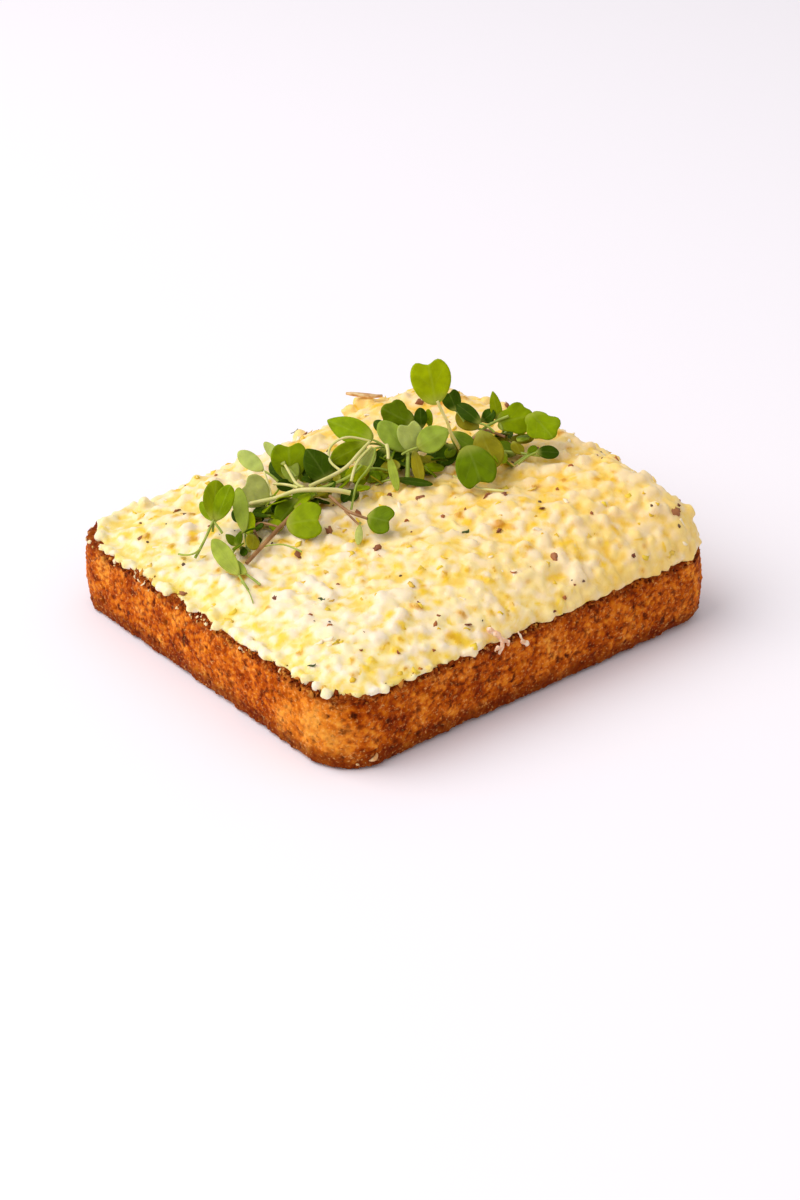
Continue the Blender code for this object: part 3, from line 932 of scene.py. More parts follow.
# %% [markdown]
# ## The egg salad's finish
#
# Cooked egg white is a moist gel and mayonnaise an emulsion, so light goes a few millimetres in and
# comes out again: shadows between lumps glow yellow instead of going grey. The surface is wet, with
# a soft sheen. Whites are ivory, crumbs of yolk run from lemon to a deep orange yellow, and the
# dressing between them is a pale warm cream.

# %% Egg salad
EGG_IOR = 1.38
egg, tree, shader = new_material(
    "egg mayonnaise", Roughness=0.4, IOR=EGG_IOR, Subsurface_Weight=0.4,
    Subsurface_Radius=(1.0, 0.9, 0.5), Subsurface_Scale=1.1 * MM,
)
place = add_node(tree, "ShaderNodeTexCoord").outputs["Object"]
tint = add_node(tree, "ShaderNodeAttribute", attribute_name="tint").outputs["Fac"]
white_share = add_node(tree, "ShaderNodeAttribute", attribute_name="white").outputs["Fac"]
yolk_share = add_node(tree, "ShaderNodeAttribute", attribute_name="yolk").outputs["Fac"]
# The dressing is stirred unevenly: cream, with paler and yellower swirls.
stir = add_node(tree, "ShaderNodeTexNoise", {
    "Vector": place, "Scale": 1 / (5 * MM), "Detail": 4.0, "Roughness": 0.55,
})
stirred = add_node(tree, "ShaderNodeMath", {0: stir, 1: tint})
half = add_node(tree, "ShaderNodeMath", {0: stirred, 1: 0.5}, operation="MULTIPLY")
cream = ramp(tree, half,
             (0.24, "#F6D466"), (0.42, "#FCE294"), (0.56, "#FEE9AE"), (0.76, "#FFEECA"))
# Egg white smeared thin, and yolk crushed into the dressing.
smears = add_node(tree, "ShaderNodeTexNoise", {
    "Vector": place, "Scale": 1 / (5 * MM), "Detail": 3.0, "Roughness": 0.55, "Distortion": 0.8,
})
smear_share = add_node(tree, "ShaderNodeMapRange", {
    "Value": smears, "From Min": 0.53, "From Max": 0.66, "To Max": 0.6,
})
crushed_share = add_node(tree, "ShaderNodeMapRange", {
    "Value": smears, "From Min": 0.38, "From Max": 0.30, "To Max": 0.85,
})
ivory = ramp(tree, tint, (0.0, "#FFE4BE"), (0.6, "#FFE8CC"), (1.0, "#FFECDA"))
yolk_colour = ramp(tree, tint, (0.0, "#FADC58"), (0.75, "#F4CC2A"), (1.0, "#D0920C"))
white_show = add_node(tree, "ShaderNodeMath", {0: white_share, 1: 0.9}, operation="MULTIPLY")
# Painted shade: the hollows are painted yolk yellow, as shade between lumps glows; painted
# highlight: what stands up is painted pale.
hollow = add_node(tree, "ShaderNodeAttribute", attribute_name="hollow").outputs["Fac"]
hollow_shade_share = add_node(tree, "ShaderNodeMapRange", {
    "Value": hollow, "From Min": 0.04, "From Max": 0.42, "To Max": 0.55,
}, interpolation_type="SMOOTHSTEP")
top_highlight_share = add_node(tree, "ShaderNodeMapRange", {
    "Value": hollow, "From Min": -0.08, "From Max": -0.50, "To Max": 0.35,
}, interpolation_type="SMOOTHSTEP")
mixed = laid_over(
    tree, cream, (smear_share, "#FFEDD2"), (crushed_share, "#F8DA48"), (white_show, ivory),
    (yolk_share, yolk_colour), (hollow_shade_share, "#F8D850"), (top_highlight_share, "#FFECCA"),
)
# Painted shade: the colour is darkened and warmed towards the heaped end, less on whites and yolk.
toward_heap = add_node(tree, "ShaderNodeMapRange", {
    "Value": add_node(tree, "ShaderNodeSeparateXYZ", {"Vector": place}).outputs["X"],
    "From Min": slice_low.x, "From Max": slice_high.x / 2,
})
pieces = add_node(tree, "ShaderNodeMath", {0: white_share, 1: yolk_share})
spared = add_node(tree, "ShaderNodeMath", {0: pieces, 1: -0.3, 2: 1.0}, operation="MULTIPLY_ADD")
heap_shade_share = add_node(tree, "ShaderNodeMath", {0: toward_heap, 1: spared}, operation="MULTIPLY")
heap_shaded = laid_over(tree, mixed, (heap_shade_share, "#FFE9B0"), way="MULTIPLY")
grit = add_node(tree, "ShaderNodeTexNoise", {
    "Vector": place, "Scale": 1 / (0.9 * MM), "Detail": 3.0,
})
bump = add_node(tree, "ShaderNodeBump", {"Strength": 0.4, "Distance": 0.25 * MM, "Height": grit})
plug(shader, {"Base Color": heap_shaded, "Normal": bump})
salad_piece = hand_over("lumpy_egg_salad", salad, "egg_salad", egg)

# %% [markdown]
# ## Crumbs along the rim
#
# A knife drags loose crumbs to the slice's edge as it spreads, and they stay there, burnt dark, half
# pressed into the spread's border. A narrow ribbon laid over the rim says where they may lie. One
# small Geometry Nodes tree strews any kind of bit over any surface, and makes the crumbs, the fallen
# bits of egg and the bits stirred into the salad.

# %% A tree that strews bits over a surface
strew, sizes = new_tree(
    "strew bits", Bits="Collection", Density="Float", Smallest="Float", Largest="Float",
    Sink="Float", Tumble="Float", Steepest="Float", Seed="Int",
)
spots = add_node(strew, "GeometryNodeDistributePointsOnFaces", {
    "Mesh": sizes["Geometry"], "Selection": facing_up(strew, sizes["Steepest"]),
    "Density": sizes["Density"], "Seed": sizes["Seed"],
})
# Each bit lies flat on the surface, spun any way round and tipped as far as the tumble says.
spin = add_node(strew, "FunctionNodeRandomValue", {
    0: (-1, -1, -math.pi), 1: (1, 1, math.pi), "Seed": sizes["Seed"],
}, data_type="FLOAT_VECTOR")
tilt = add_node(strew, "ShaderNodeCombineXYZ", {
    "X": sizes["Tumble"], "Y": sizes["Tumble"], "Z": 1.0,
})
tumbled = add_node(strew, "ShaderNodeVectorMath", {0: spin, 1: tilt}, operation="MULTIPLY")
flat = add_node(strew, "FunctionNodeAlignEulerToVector", {
    "Vector": spots.outputs["Normal"],
}, axis="Z")
laid = add_node(strew, "FunctionNodeRotateEuler", {
    "Rotation": flat, "Rotate By": tumbled,
}, space="LOCAL")
scaled = add_node(strew, "FunctionNodeRandomValue", {
    2: sizes["Smallest"], 3: sizes["Largest"], "Seed": sizes["Seed"],
})
end_tree(strew, bedded_bits(strew, sizes, spots, sizes["Sink"], scaled, laid))


# %% Flakes and shreds
FLAKE_STEPS = 6
FLAKE_TWIST = 0.8


def flake_mesh(name, seed, length, width, thickness, bend):
    """A thin curled sliver: a box of a few steps along its length, bent and narrowed at its ends."""
    draw = random.Random(seed)
    builder = bmesh.new()
    rings = []
    twist = draw.uniform(-FLAKE_TWIST, FLAKE_TWIST)
    for i in range(FLAKE_STEPS + 1):
        share = i / FLAKE_STEPS
        x = (share - 0.5) * length
        half = width / 2 * math.sin(math.pi * (0.12 + 0.76 * share)) * draw.uniform(0.8, 1.15)
        turn = twist * (share - 0.5)
        lift = bend * (share - 0.5) ** 2 * length
        sway = 0.3 * bend * length * math.sin(math.tau * share)
        ring = []
        for side, top in ((-1, -1), (1, -1), (1, 1), (-1, 1)):
            y = side * half
            z = top * thickness / 2
            ring.append(builder.verts.new((
                x, y * math.cos(turn) - z * math.sin(turn) + sway,
                y * math.sin(turn) + z * math.cos(turn) + lift,
            )))
        rings.append(ring)
    for low, high in zip(rings, rings[1:]):
        for i in range(4):
            builder.faces.new((low[i], low[(i + 1) % 4], high[(i + 1) % 4], high[i]))
    builder.faces.new(reversed(rings[0]))
    builder.faces.new(rings[-1])
    bmesh.ops.recalc_face_normals(builder, faces=builder.faces)
    return finished(builder, name)


# %% Where crumbs lie on the rim
RIM_STEPS = (
    (slice_top - 1.9 * MM, 0.5 * MM), (slice_top - 0.9 * MM, 0.5 * MM),
    (slice_top - 0.3 * MM, 0.8 * MM), (slice_top + 0.2 * MM, 1.7 * MM),
)
crumb_shapes = basket("crumbs", [
    lump_mesh("crumb", seed + 40, 1, 0.6, 1.6) for seed in range(6)
])

# %% Burnt crumbs
burnt = mottled(
    "burnt crumb", ((0.0, "#4A1404"), (0.5, "#7A2E08"), (0.85, "#A85014"), (1.0, "#E09840")),
    Roughness=0.7, IOR=CRUST_IOR, Specular_IOR_Level=0.05,
)
CRUMB_SIZES = (
    # Smallest, largest and how many to the square millimetre: dust, crumbs and a few clumps.
    (0.15 * MM, 0.45 * MM, 0.9), (0.4 * MM, 0.7 * MM, 0.26), (0.7 * MM, 1.0 * MM, 0.03),
)
# The far corner of the thin end and the crust under the heap stayed clean.
CLEAN_X, CLEAN_Y, HEAP_X = -46 * MM, 40 * MM, 52 * MM
rim = add_object("rim", ringed_mesh(
    "rim", RIM_STEPS, lambda x, y: (x > CLEAN_X or y < CLEAN_Y) and x < HEAP_X,
))
mesh = joined("rim crumbs", [
    grow(rim, strew, "crumbs", Bits=crumb_shapes, Density=count / MM ** 2, Smallest=smallest,
         Largest=largest, Sink=0.0, Tumble=3.0, Steepest=-2.0, Seed=51 + i)
    for i, (smallest, largest, count) in enumerate(CRUMB_SIZES)
])
drop(rim)
hand_over("burnt_rim_crumbs", mesh, "toast_slice", burnt)

# %% Pale bits of egg that fell on the rim
THIN_SIDE = slice_low.x + 14 * MM
CLEAN_BEFORE = -35 * MM
fallen = add_object("fallen", ringed_mesh(
    "fallen", RIM_STEPS[:3], lambda x, y: x < THIN_SIDE and y > CLEAN_BEFORE,
))
fallen_shapes = basket("fallen bits", [
    lump_mesh("fallen bit", seed + 50, 1, 0.6, 1.4) for seed in range(4)
] + [flake_mesh("fallen shred", seed + 3, 3.2, 0.9, 0.5, 0.4) for seed in range(3)])
mesh = grow(fallen, strew, "fallen egg", Bits=fallen_shapes, Density=0.16 / MM ** 2,
            Smallest=0.2 * MM, Largest=0.65 * MM, Sink=-0.1 * MM, Tumble=1.0, Steepest=-2.0,
            Seed=52)
drop(fallen)
dried = mottled("dried egg", ((0.0, "#E8B850"), (0.4, "#F4D48C"), (1.0, "#FCE4B8")),
                Roughness=0.5, IOR=EGG_IOR)
hand_over("fallen_egg_bits", mesh, "egg_salad", dried)

# %% [markdown]
# ## What is stirred into the salad
#
# Cracked pepper, flakes of red chilli, brown bits of wholegrain mustard husk, snipped herb and thin
# shreds of egg white lie in and on the spread. Each kind is one piece, strewn over the finished
# lumps so that every bit sits on the real surface.

# %% Shapes of the bits
pepper = basket("pepper", [lump_mesh("pepper", seed + 60, 1, 0.7, 1.1) for seed in range(5)])
husks = basket("husks", [lump_mesh("husk", seed + 70, 2, 0.35, 1.5) for seed in range(5)])
herbs = basket("herbs", [flake_mesh("herb", seed, 2.0, 0.7, 0.15, 0.4) for seed in range(4)])
shreds = basket("shreds", [flake_mesh("shred", seed + 9, 2.0, 0.8, 0.4, 0.25) for seed in range(6)])

# %% Strew them
BITS = (
    # Piece, shapes, how many to the square centimetre, smallest, largest, sink, tumble, colours.
    ("cracked_pepper", pepper, 0.22, 0.22, 0.55, 0.0, 3.0, ("#3A2618", "#6E5038")),
    ("chilli_flakes", pepper, 0.28, 0.25, 0.7, 0.0, 1.0, ("#7A2E12", "#B46A34")),
    ("mustard_husks", husks, 0.24, 0.4, 1.1, 0.05, 0.6, ("#6A2E16", "#A86A40")),
    ("golden_crumbs", husks, 0.15, 0.5, 1.1, 0.25, 0.6, ("#C88C28", "#F0C850")),
    ("herb_flecks", herbs, 0.03, 0.8, 1.3, -0.1, 0.3, ("#2E4410", "#4A5A18")),
    ("egg_white_shreds", shreds, 0.5, 0.6, 1.4, 0.2, 0.4, ("#FDE4B8", "#FFECCC")),
    ("yolk_bits", pepper, 0.8, 0.5, 1.2, 0.3, 1.0, ("#E2AC1C", "#F6D440")),
)
for seed, (name, shapes, count, smallest, largest, sink, tumble, colours) in enumerate(BITS, 81):
    finish = mottled(name.replace("_", " "), ((0.0, colours[0]), (1.0, colours[1])),
                     Roughness=0.5, IOR=EGG_IOR)
    mesh = grow(salad_piece, strew, name, Bits=shapes, Density=count / (10 * MM) ** 2,
                Smallest=smallest * MM, Largest=largest * MM, Sink=sink * MM, Tumble=tumble,
                Steepest=0.25, Seed=seed)
    hand_over(name, mesh, "egg_salad", finish)

# %% [markdown]
# ## Cress leaves
#
# The sprigs are seedlings. Each has a pair of rounded seed leaves with a notch at the tip, and some
# have grown their first narrow or lobed true leaves. A leaf is a thin blade a third of a
# millimetre thick, so it is drawn as an outline, filled with rings towards its middle, bent, and
# only then given its thickness. One formula draws every outline: an oval whose widest place,
# notch, point and lobes are numbers of its kind.

# %% Outlines of the kinds of leaf
LEAF_KINDS = {
    # Fullness towards the tip, notch, point at the tip, wedge at the base, depth between lobes.
    "heart": (0.16, 0.17, 0.0, 0.08, 0.0),
    "oval": (0.08, 0.0, 0.15, 0.35, 0.0),
    "pointed": (-0.15, 0.0, 0.55, 0.20, 0.0),
    "lobed": (0.18, 0.0, 0.0, 0.25, 0.20),
}
OUTLINE_POINTS = 36
BLADE_RINGS = (0.35, 0.65, 0.88, 1.0)
LOBES = 5


def leaf_outline(kind):
    """Points (x, y) round a leaf of width and length 1, its base at y = 0 and its tip at y = 1."""
    fullness, notch, point, wedge, lobe_depth = LEAF_KINDS[kind]
    outline = []
    for i in range(OUTLINE_POINTS):
        angle = math.tau * i / OUTLINE_POINTS
        from_tip = min(angle, math.tau - angle)
        lobe = 1 - lobe_depth * (1 - abs(math.cos(LOBES * angle / 2)))
        y = 0.5 + 0.5 * lobe * math.cos(angle)
        x = 0.5 * lobe * math.sin(angle) * (1 + fullness * math.cos(angle))
        x *= 1 - point * math.exp(-((from_tip / 0.8) ** 2))
        x *= 1 - wedge * math.exp(-(((math.pi - from_tip) / 0.9) ** 2))
        outline.append((x, y - notch * math.exp(-((from_tip / 0.38) ** 2))))
    return outline


# %% Growing one blade
# Leaf tones. The dark and deep ones, given to leaves under or behind others, are partly painted
# shade.
LEAF_TONES = {
    "bright": "#9EAC00",
    "mid": "#849600",
    "dark": "#607600",
    "deep": "#3A5200",
    "pale": "#B6BE66",
    "grey": "#9AA83C",
    "olive": "#8E8412",
}
draw = random.Random(31)


def blade_frame(base, tip, turn):
    """Along, across and upward directions of a blade, turned about its midrib by degrees."""
    along = (tip - base).normalized()
    across = along.cross(Vector((0, 0, 1))).normalized()
    twist = Matrix.Rotation(math.radians(turn), 3, along)
    across = twist @ across
    return along, across, across.cross(along).normalized()


def add_blade(builder, kind, base, tip, width, turn, tone):
    """A bent blade from base to tip, with its place on the leaf as UV and its tone as a colour."""
    uv_layer = builder.loops.layers.uv.verify()
    colour_layer = builder.verts.layers.float_color.get("tone")
    colour_layer = colour_layer or builder.verts.layers.float_color.new("tone")
    along, across, upward = blade_frame(base, tip, turn)
    length = (tip - base).length
    cup = draw.uniform(0.10, 0.45)
    curl = draw.uniform(-0.05, 0.30)
    fold = draw.uniform(0.05, 0.25)
    wave = draw.uniform(0.02, 0.07)
    sway = draw.uniform(-0.10, 0.10)
    phase = draw.uniform(0, 10)
    light = draw.uniform(0.9, 1.1)
    colour = [c * light * draw.uniform(0.96, 1.04) for c in linear(LEAF_TONES[tone])[:3]] + [1]
    spots = {}

    def spot(x, y):
        bend = cup * x * x - curl * (y - 0.3) ** 2 * length / width - fold * (abs(x) - 0.25)
        bend += wave * noise.noise(Vector((x * 3, y * 3, phase)))
        side = x + sway * (y - y * y)
        place = base + across * side * width + along * y * length + upward * bend * width
        vertex = builder.verts.new(place)
        vertex[colour_layer] = colour
        spots[vertex] = (x + 0.5, y)
        return vertex

    outline = leaf_outline(kind)
    middle = (0.0, 0.52)
    centre = spot(*middle)
    rings = []
    for share in BLADE_RINGS:
        rings.append([
            spot(middle[0] + (x - middle[0]) * share, middle[1] + (y - middle[1]) * share)
            for x, y in outline
        ])
    faces = []
    for i in range(OUTLINE_POINTS):
        after = (i + 1) % OUTLINE_POINTS
        faces.append(builder.faces.new((centre, rings[0][i], rings[0][after])))
        for inner, outer in zip(rings, rings[1:]):
            faces.append(builder.faces.new((inner[i], outer[i], outer[after], inner[after])))
    for face in faces:
        for loop in face.loops:
            loop[uv_layer].uv = spots[loop.vert]


# %% [markdown]
# ## Where the sprigs lie
#
# The tangle is dropped by hand, so its places are listed one by one: they are the same sprigs that
# the solid was made from, with every leaf added. A point is given in millimetres over the slice,
# and its height over the egg salad, because the sprigs lie on whatever lumps are there. Leaves turn
# their faces towards the light, which the turn about the midrib gives.

# %% Standing on the egg salad
salad_tree = BVHTree.FromObject(salad_piece, bpy.context.evaluated_depsgraph_get())
SKY = 200 * MM


def over_egg(x, y, height):
    """A point in the row's frame, at a height over the spread's lumps near that place."""
    found = []
    for dx, dy in ((0, 0), (1.5, 0), (-1.5, 0), (0, 1.5), (0, -1.5)):
        hit = salad_tree.ray_cast(Vector(((x + dx) * MM, (y + dy) * MM, SKY)), Vector((0, 0, -1)))
        if hit[0]:
            found.append(hit[0].z)
    return Vector((x * MM, y * MM, sum(found) / len(found) + height * MM))


# %% The leaves
LEAVES = (
    # Kind, base and tip (x, y, height over the egg), width, turn about the midrib, tone.
    # The left end: a lobed leaf, narrow leaves and a pale one seen from below.
    ("oval", (-40.8, 17.1, 6), (-38.4, 18.9, 15), 5.8, 12, "mid"),
    ("oval", (-40.5, 16.7, 6), (-37.0, 14.9, 14), 4.9, 52, "mid"),
    ("oval", (-41.0, 17.2, 6), (-40.9, 22.3, 9.5), 2.8, -30, "mid"),
    ("oval", (-47.4, -2.0, 2.2), (-45.7, 10.7, 6), 4.5, -35, "grey"),
    ("oval", (-45.5, -2.5, 1.5), (-46.5, 5, 3.5), 3.4, -20, "grey"),
    ("oval", (-36.5, 10.7, 3), (-32.6, 18.5, 11), 3.8, -12, "grey"),
    ("oval", (-36, 9.5, 2), (-32.5, 13.5, 6), 2.6, 10, "bright"),
    ("pointed", (-39.4, 9.8, 1.5), (-40.8, 12.4, 4), 2.2, -52, "dark"),
    ("pointed", (-39.8, 9.5, 1.5), (-37.8, 10.3, 4.5), 1.9, 20, "dark"),
    ("oval", (-39.4, 8.2, 1.2), (-40.2, 5.2, 1.5), 1.9, 35, "deep"),
    # The second sprig: pale seed leaves, a big round one and dark ones behind, partly painted shade.
    ("heart", (-24.5, 17.5, 4), (-29, 22.5, 9), 8.4, -50, "pale"),
    ("oval", (-20.5, 24.5, 8), (-23, 31.5, 11), 4.2, -45, "pale"),
    ("heart", (-14.5, 21.5, 4), (-12.5, 25, 13), 9, -9, "mid"),
    ("oval", (-15, 19.5, 4), (-13, 24.5, 9), 4.6, -18, "grey"),
    ("oval", (-15, 23, 8), (-15, 32, 10.5), 2.8, -40, "pale"),
    ("oval", (-14, 23, 3), (-14.5, 30, 6), 4.8, -43, "deep"),
    ("pointed", (-9, 13.5, 3.5), (-10, 20.5, 11), 7.5, -20, "deep"),
    ("oval", (-11, 17.5, 3), (-10, 22, 6.5), 3, -25, "deep"),
    ("oval", (-22, 21.5, 3), (-26.5, 23.5, 2), 3, -50, "deep"),
    ("oval", (-25.5, 18, 3), (-30.5, 15, 1), 3.4, -22, "deep"),
    ("oval", (-20, 11.5, 4), (-27, 10, 1.5), 6, -34, "dark"),
    ("oval", (-21, 13, 4), (-24.5, 16.5, 2), 3.4, -60, "deep"),
    ("heart", (-27.4, 6, 2.6), (-22.5, -2.4, 4.8), 9, 52, "mid"),
    # The two large leaves behind the stems, and the round leaf that hangs forward.
    ("pointed", (6, 14.5, 7.5), (0.3, 26, 12.5), 6.6, -50, "mid"),
    ("oval", (4.5, 15, 7), (-5, 17.5, 6), 5.5, -50, "mid"),
    ("heart", (-12.8, -7, 4), (-11.2, -14.5, 4.2), 7, 50, "dark"),
    ("oval", (-15.5, -7, 3), (-19, -11, 1), 1.9, -5, "pale"),
    # The middle sprig: a crown of leaves, light above and dark below, the dark partly painted shade.
    ("lobed", (19, 14, 8.5), (14, 21, 12.5), 8, -62, "dark"),
    ("oval", (19.5, 12, 8), (20.5, 13.5, 12.5), 3.4, 0, "deep"),
    ("oval", (22.5, 12, 7), (22.5, 13, 11.5), 2, -50, "mid"),
    ("heart", (13, 6.5, 5), (12, 9, 13.5), 6.2, -50, "pale"),
    ("oval", (12.5, 8.5, 5), (8, 14.5, 11.5), 6.4, -35, "grey"),
    ("oval", (11, 14.5, 8), (9.5, 18.5, 10.5), 3, -50, "deep"),
    ("pointed", (12.3, 4.8, 7.5), (17.6, -0.6, 12), 6.8, 58, "grey"),
    ("heart", (8.6, -6.2, 23.4), (9.0, -2.2, 34), 9.7, -24, "bright"),
    ("heart", (26, 6, 11.5), (25.5, 9, 16), 4.8, -35, "deep"),
    ("oval", (28.5, -0.5, 9), (26, 6, 13.5), 3.8, -50, "deep"),
    ("oval", (29, 1, 7), (26.5, 6.5, 10.5), 5, -50, "olive"),
    ("heart", (18, -7, 9.5), (14.5, -17, 3), 9.8, 16, "dark"),
    ("oval", (25.5, -3.5, 9.5), (22.5, -13, 4), 7.5, 21, "olive"),
    ("oval", (23.5, 4.5, 4), (18, 2.5, 2), 5.5, -31, "deep"),
    ("oval", (22.5, 4, 8), (22.5, -5, 7), 4.4, 44, "dark"),
    ("oval", (4.5, 6.5, 7), (2, 0, 1), 2.3, 16, "grey"),
    ("oval", (13, 7, 6), (7.5, -2.5, 1), 3, 11, "olive"),
    ("oval", (3.4, 3.4, 1.8), (9, -5, 1.6), 2.0, 60, "deep"),
    ("oval", (14, 9.5, 3), (7, 10, 3), 4.5, -52, "deep"),
    ("oval", (4.5, 12, 7), (-1, 12, 4), 4.6, -44, "pale"),
    ("oval", (0.5, 9, 5), (-4.5, 12.5, 3), 4, -60, "bright"),
    ("oval", (7, 11, 6), (3.5, 11, 3), 3.6, -43, "deep"),
    ("oval", (6, 9.5, 2), (0.5, 10.5, 1), 4.4, -54, "olive"),
    # The right end: a lobed leaf in two parts with dark ones under it, partly painted shade.
    ("lobed", (32.1, -1.6, 7.5), (39.5, -7.5, 8.8), 8.2, 58, "mid"),
    ("lobed", (39.2, -6.7, 9.3), (38.0, -16.5, 6.3), 9.2, 15, "mid"),
    ("oval", (33.6, -15.3, 3.5), (38.9, -18.1, 2.5), 3.6, 45, "deep"),
    ("pointed", (33, -2, 8), (33.5, 1, 15), 3, -26, "mid"),
    ("oval", (30.5, 1.5, 8), (32.5, -1, 10.5), 3.6, 60, "deep"),
    ("oval", (33, -13, 2), (35, -14, 4), 2.4, 55, "dark"),
    ("oval", (36, -1, 3), (31, -4, 2), 4, -20, "olive"),
)
LEAF_THICKNESS = 0.3 * MM

builder = bmesh.new()
for kind, base, tip, width, turn, tone in LEAVES:
    add_blade(builder, kind, over_egg(*base), over_egg(*tip), width * MM, turn, tone)
print(len(LEAVES), "leaves placed by hand")

# %% The bed of small leaves under them
BEDS = (
    # Middle over the slice (x, y), half-sizes along x and y, and how many leaves, lying low.
    (-36, 10.5, 4, 3, 5),
    (-21, 15, 11, 7, 26),
    (-2, 12, 9, 4, 14),
    (16, 7, 10, 7, 28),
    (32, -6, 5, 8, 10),
)
# Mostly dark tones: partly the leaves' own colour, partly painted shade under the sprigs.
BED_AND_SHADE_TONES = ("deep", "deep", "dark", "mid", "olive")

for x, y, half_x, half_y, count in BEDS:
    for _ in range(count):
        turn = draw.uniform(0, math.tau)
        reach = math.sqrt(draw.random())
        foot = (x + half_x * reach * math.cos(turn), y + half_y * reach * math.sin(turn))
        way = draw.uniform(0, math.tau)
        length = draw.uniform(3.5, 6.5)
        low = draw.uniform(0.5, 4.0)
        high = low + draw.uniform(-1.0, 2.5)
        head = (foot[0] + length * math.cos(way), foot[1] + length * math.sin(way))
        add_blade(builder, "oval", over_egg(*foot, low), over_egg(*head, max(high, 0.4)),
                  draw.uniform(2.6, 4.6) * MM, draw.uniform(-50, 50), draw.choice(BED_AND_SHADE_TONES))
bmesh.ops.recalc_face_normals(builder, faces=builder.faces)
working = add_object("cress leaves", finished(builder, "cress leaves"))
thicken = working.modifiers.new("leaf thickness", "SOLIDIFY")
thicken.thickness = LEAF_THICKNESS
thicken.offset = 0
leaves = plain_mesh(working, "cress leaves")
drop(working)

# %% [markdown]
# ## The leaf's finish
#
# A seedling's leaf is soft and a little waxy. Its veins are paler than the blade, the blade pales
# towards its stalk, partly its own tint and partly a painted light gradient along the leaf, and
# light from behind glows yellow green through it. The veins follow the leaf and not the space it
# lies in, so they read the leaf's own UV: a midrib along the middle and side veins that leave it at
# a slant.

# %% Cress leaf
LEAF_IOR = 1.42
leaf, tree, shader = new_material(
    "cress leaf", Roughness=0.5, IOR=LEAF_IOR, Subsurface_Weight=0.25,
    Subsurface_Radius=(0.8, 1.0, 0.1), Subsurface_Scale=1.0 * MM, Specular_IOR_Level=0.06,
)
tone = add_node(tree, "ShaderNodeAttribute", attribute_name="tone").outputs["Color"]
leaf_uv = add_node(tree, "ShaderNodeSeparateXYZ", {
    "Vector": add_node(tree, "ShaderNodeTexCoord").outputs["UV"],
})
offside = add_node(tree, "ShaderNodeMath", {0: leaf_uv.outputs["X"], 1: 0.5}, operation="SUBTRACT")
away = add_node(tree, "ShaderNodeMath", {0: offside}, operation="ABSOLUTE")
midrib = add_node(tree, "ShaderNodeMapRange", {"Value": away, "From Min": 0.045, "From Max": 0.015})
SIDE_VEINS = 6.0
slanted = add_node(tree, "ShaderNodeMath", {
    0: away, 1: -1.1, 2: leaf_uv.outputs["Y"],
}, operation="MULTIPLY_ADD")
beats = add_node(tree, "ShaderNodeMath", {0: slanted, 1: SIDE_VEINS}, operation="MULTIPLY")
beat = add_node(tree, "ShaderNodeMath", {0: beats, 1: 1.0}, operation="PINGPONG")
side_vein = add_node(tree, "ShaderNodeMapRange", {
    "Value": beat, "From Min": 0.16, "From Max": 0.02, "To Max": 0.45,
})
vein = add_node(tree, "ShaderNodeMath", {0: midrib, 1: side_vein}, operation="MAXIMUM")
vein_share = add_node(tree, "ShaderNodeMath", {0: vein, 1: 0.06}, operation="MULTIPLY")
place = add_node(tree, "ShaderNodeTexCoord").outputs["Object"]
blotch = add_node(tree, "ShaderNodeTexNoise", {
    "Vector": place, "Scale": 1 / (2.5 * MM), "Detail": 3.0,
})
uneven = add_node(tree, "ShaderNodeMapRange", {
    "Value": blotch, "From Min": 0.3, "From Max": 0.7, "To Min": 0.8, "To Max": 1.15,
})
shaded = add_node(tree, "ShaderNodeVectorMath", {0: tone, "Scale": uneven}, operation="SCALE")
# The blade pales towards its stalk: partly its own tint, partly painted light along the leaf.
stalk_tint_and_light_share = add_node(tree, "ShaderNodeMapRange", {
    "Value": leaf_uv.outputs["Y"], "From Min": 0.30, "From Max": 0.0, "To Max": 0.55,
}, interpolation_type="SMOOTHSTEP")
green = laid_over(tree, shaded, (vein_share, "#C2CC6A"), (stalk_tint_and_light_share, "#B4B450"))
bump = add_node(tree, "ShaderNodeBump", {
    "Strength": 0.35, "Distance": 0.12 * MM, "Height": vein,
}, invert=True)
plug(shader, {"Base Color": green, "Normal": bump})
hand_over("cress_leaves", leaves, "cress_sprigs", leaf)

# %% [markdown]
# ## Cress stems
#
# The stems are soft threads, thicker where they were cut and thinner towards the leaf. Geometry
# Nodes follow each one's curve with a round section that tapers, so a stem is only its route and
# its thickness. They come in three colours, as real sprigs do: pale cream, green and purple brown.

# %% A tree that grows tapering stems along curves
stems, sizes = new_tree("grow stems", Slimming="Float", Step="Float")
even = add_node(stems, "GeometryNodeResampleCurve", {
    "Curve": sizes["Geometry"], "Length": sizes["Step"],
}, mode="LENGTH")
onward = add_node(stems, "GeometryNodeSplineParameter")
slimmer = add_node(stems, "ShaderNodeMath", {0: onward, 1: sizes["Slimming"]}, operation="MULTIPLY")
share = add_node(stems, "ShaderNodeMath", {0: 1.0, 1: slimmer}, operation="SUBTRACT")
thickness = add_node(stems, "GeometryNodeInputRadius")
radius = add_node(stems, "ShaderNodeMath", {0: thickness, 1: share}, operation="MULTIPLY")
section = add_node(stems, "GeometryNodeCurvePrimitiveCircle", {"Resolution": 8, "Radius": 1.0})
tubes = add_node(stems, "GeometryNodeCurveToMesh", {
    "Curve": even, "Profile Curve": section, "Scale": radius, "Fill Caps": True,
})
end_tree(stems, tubes)

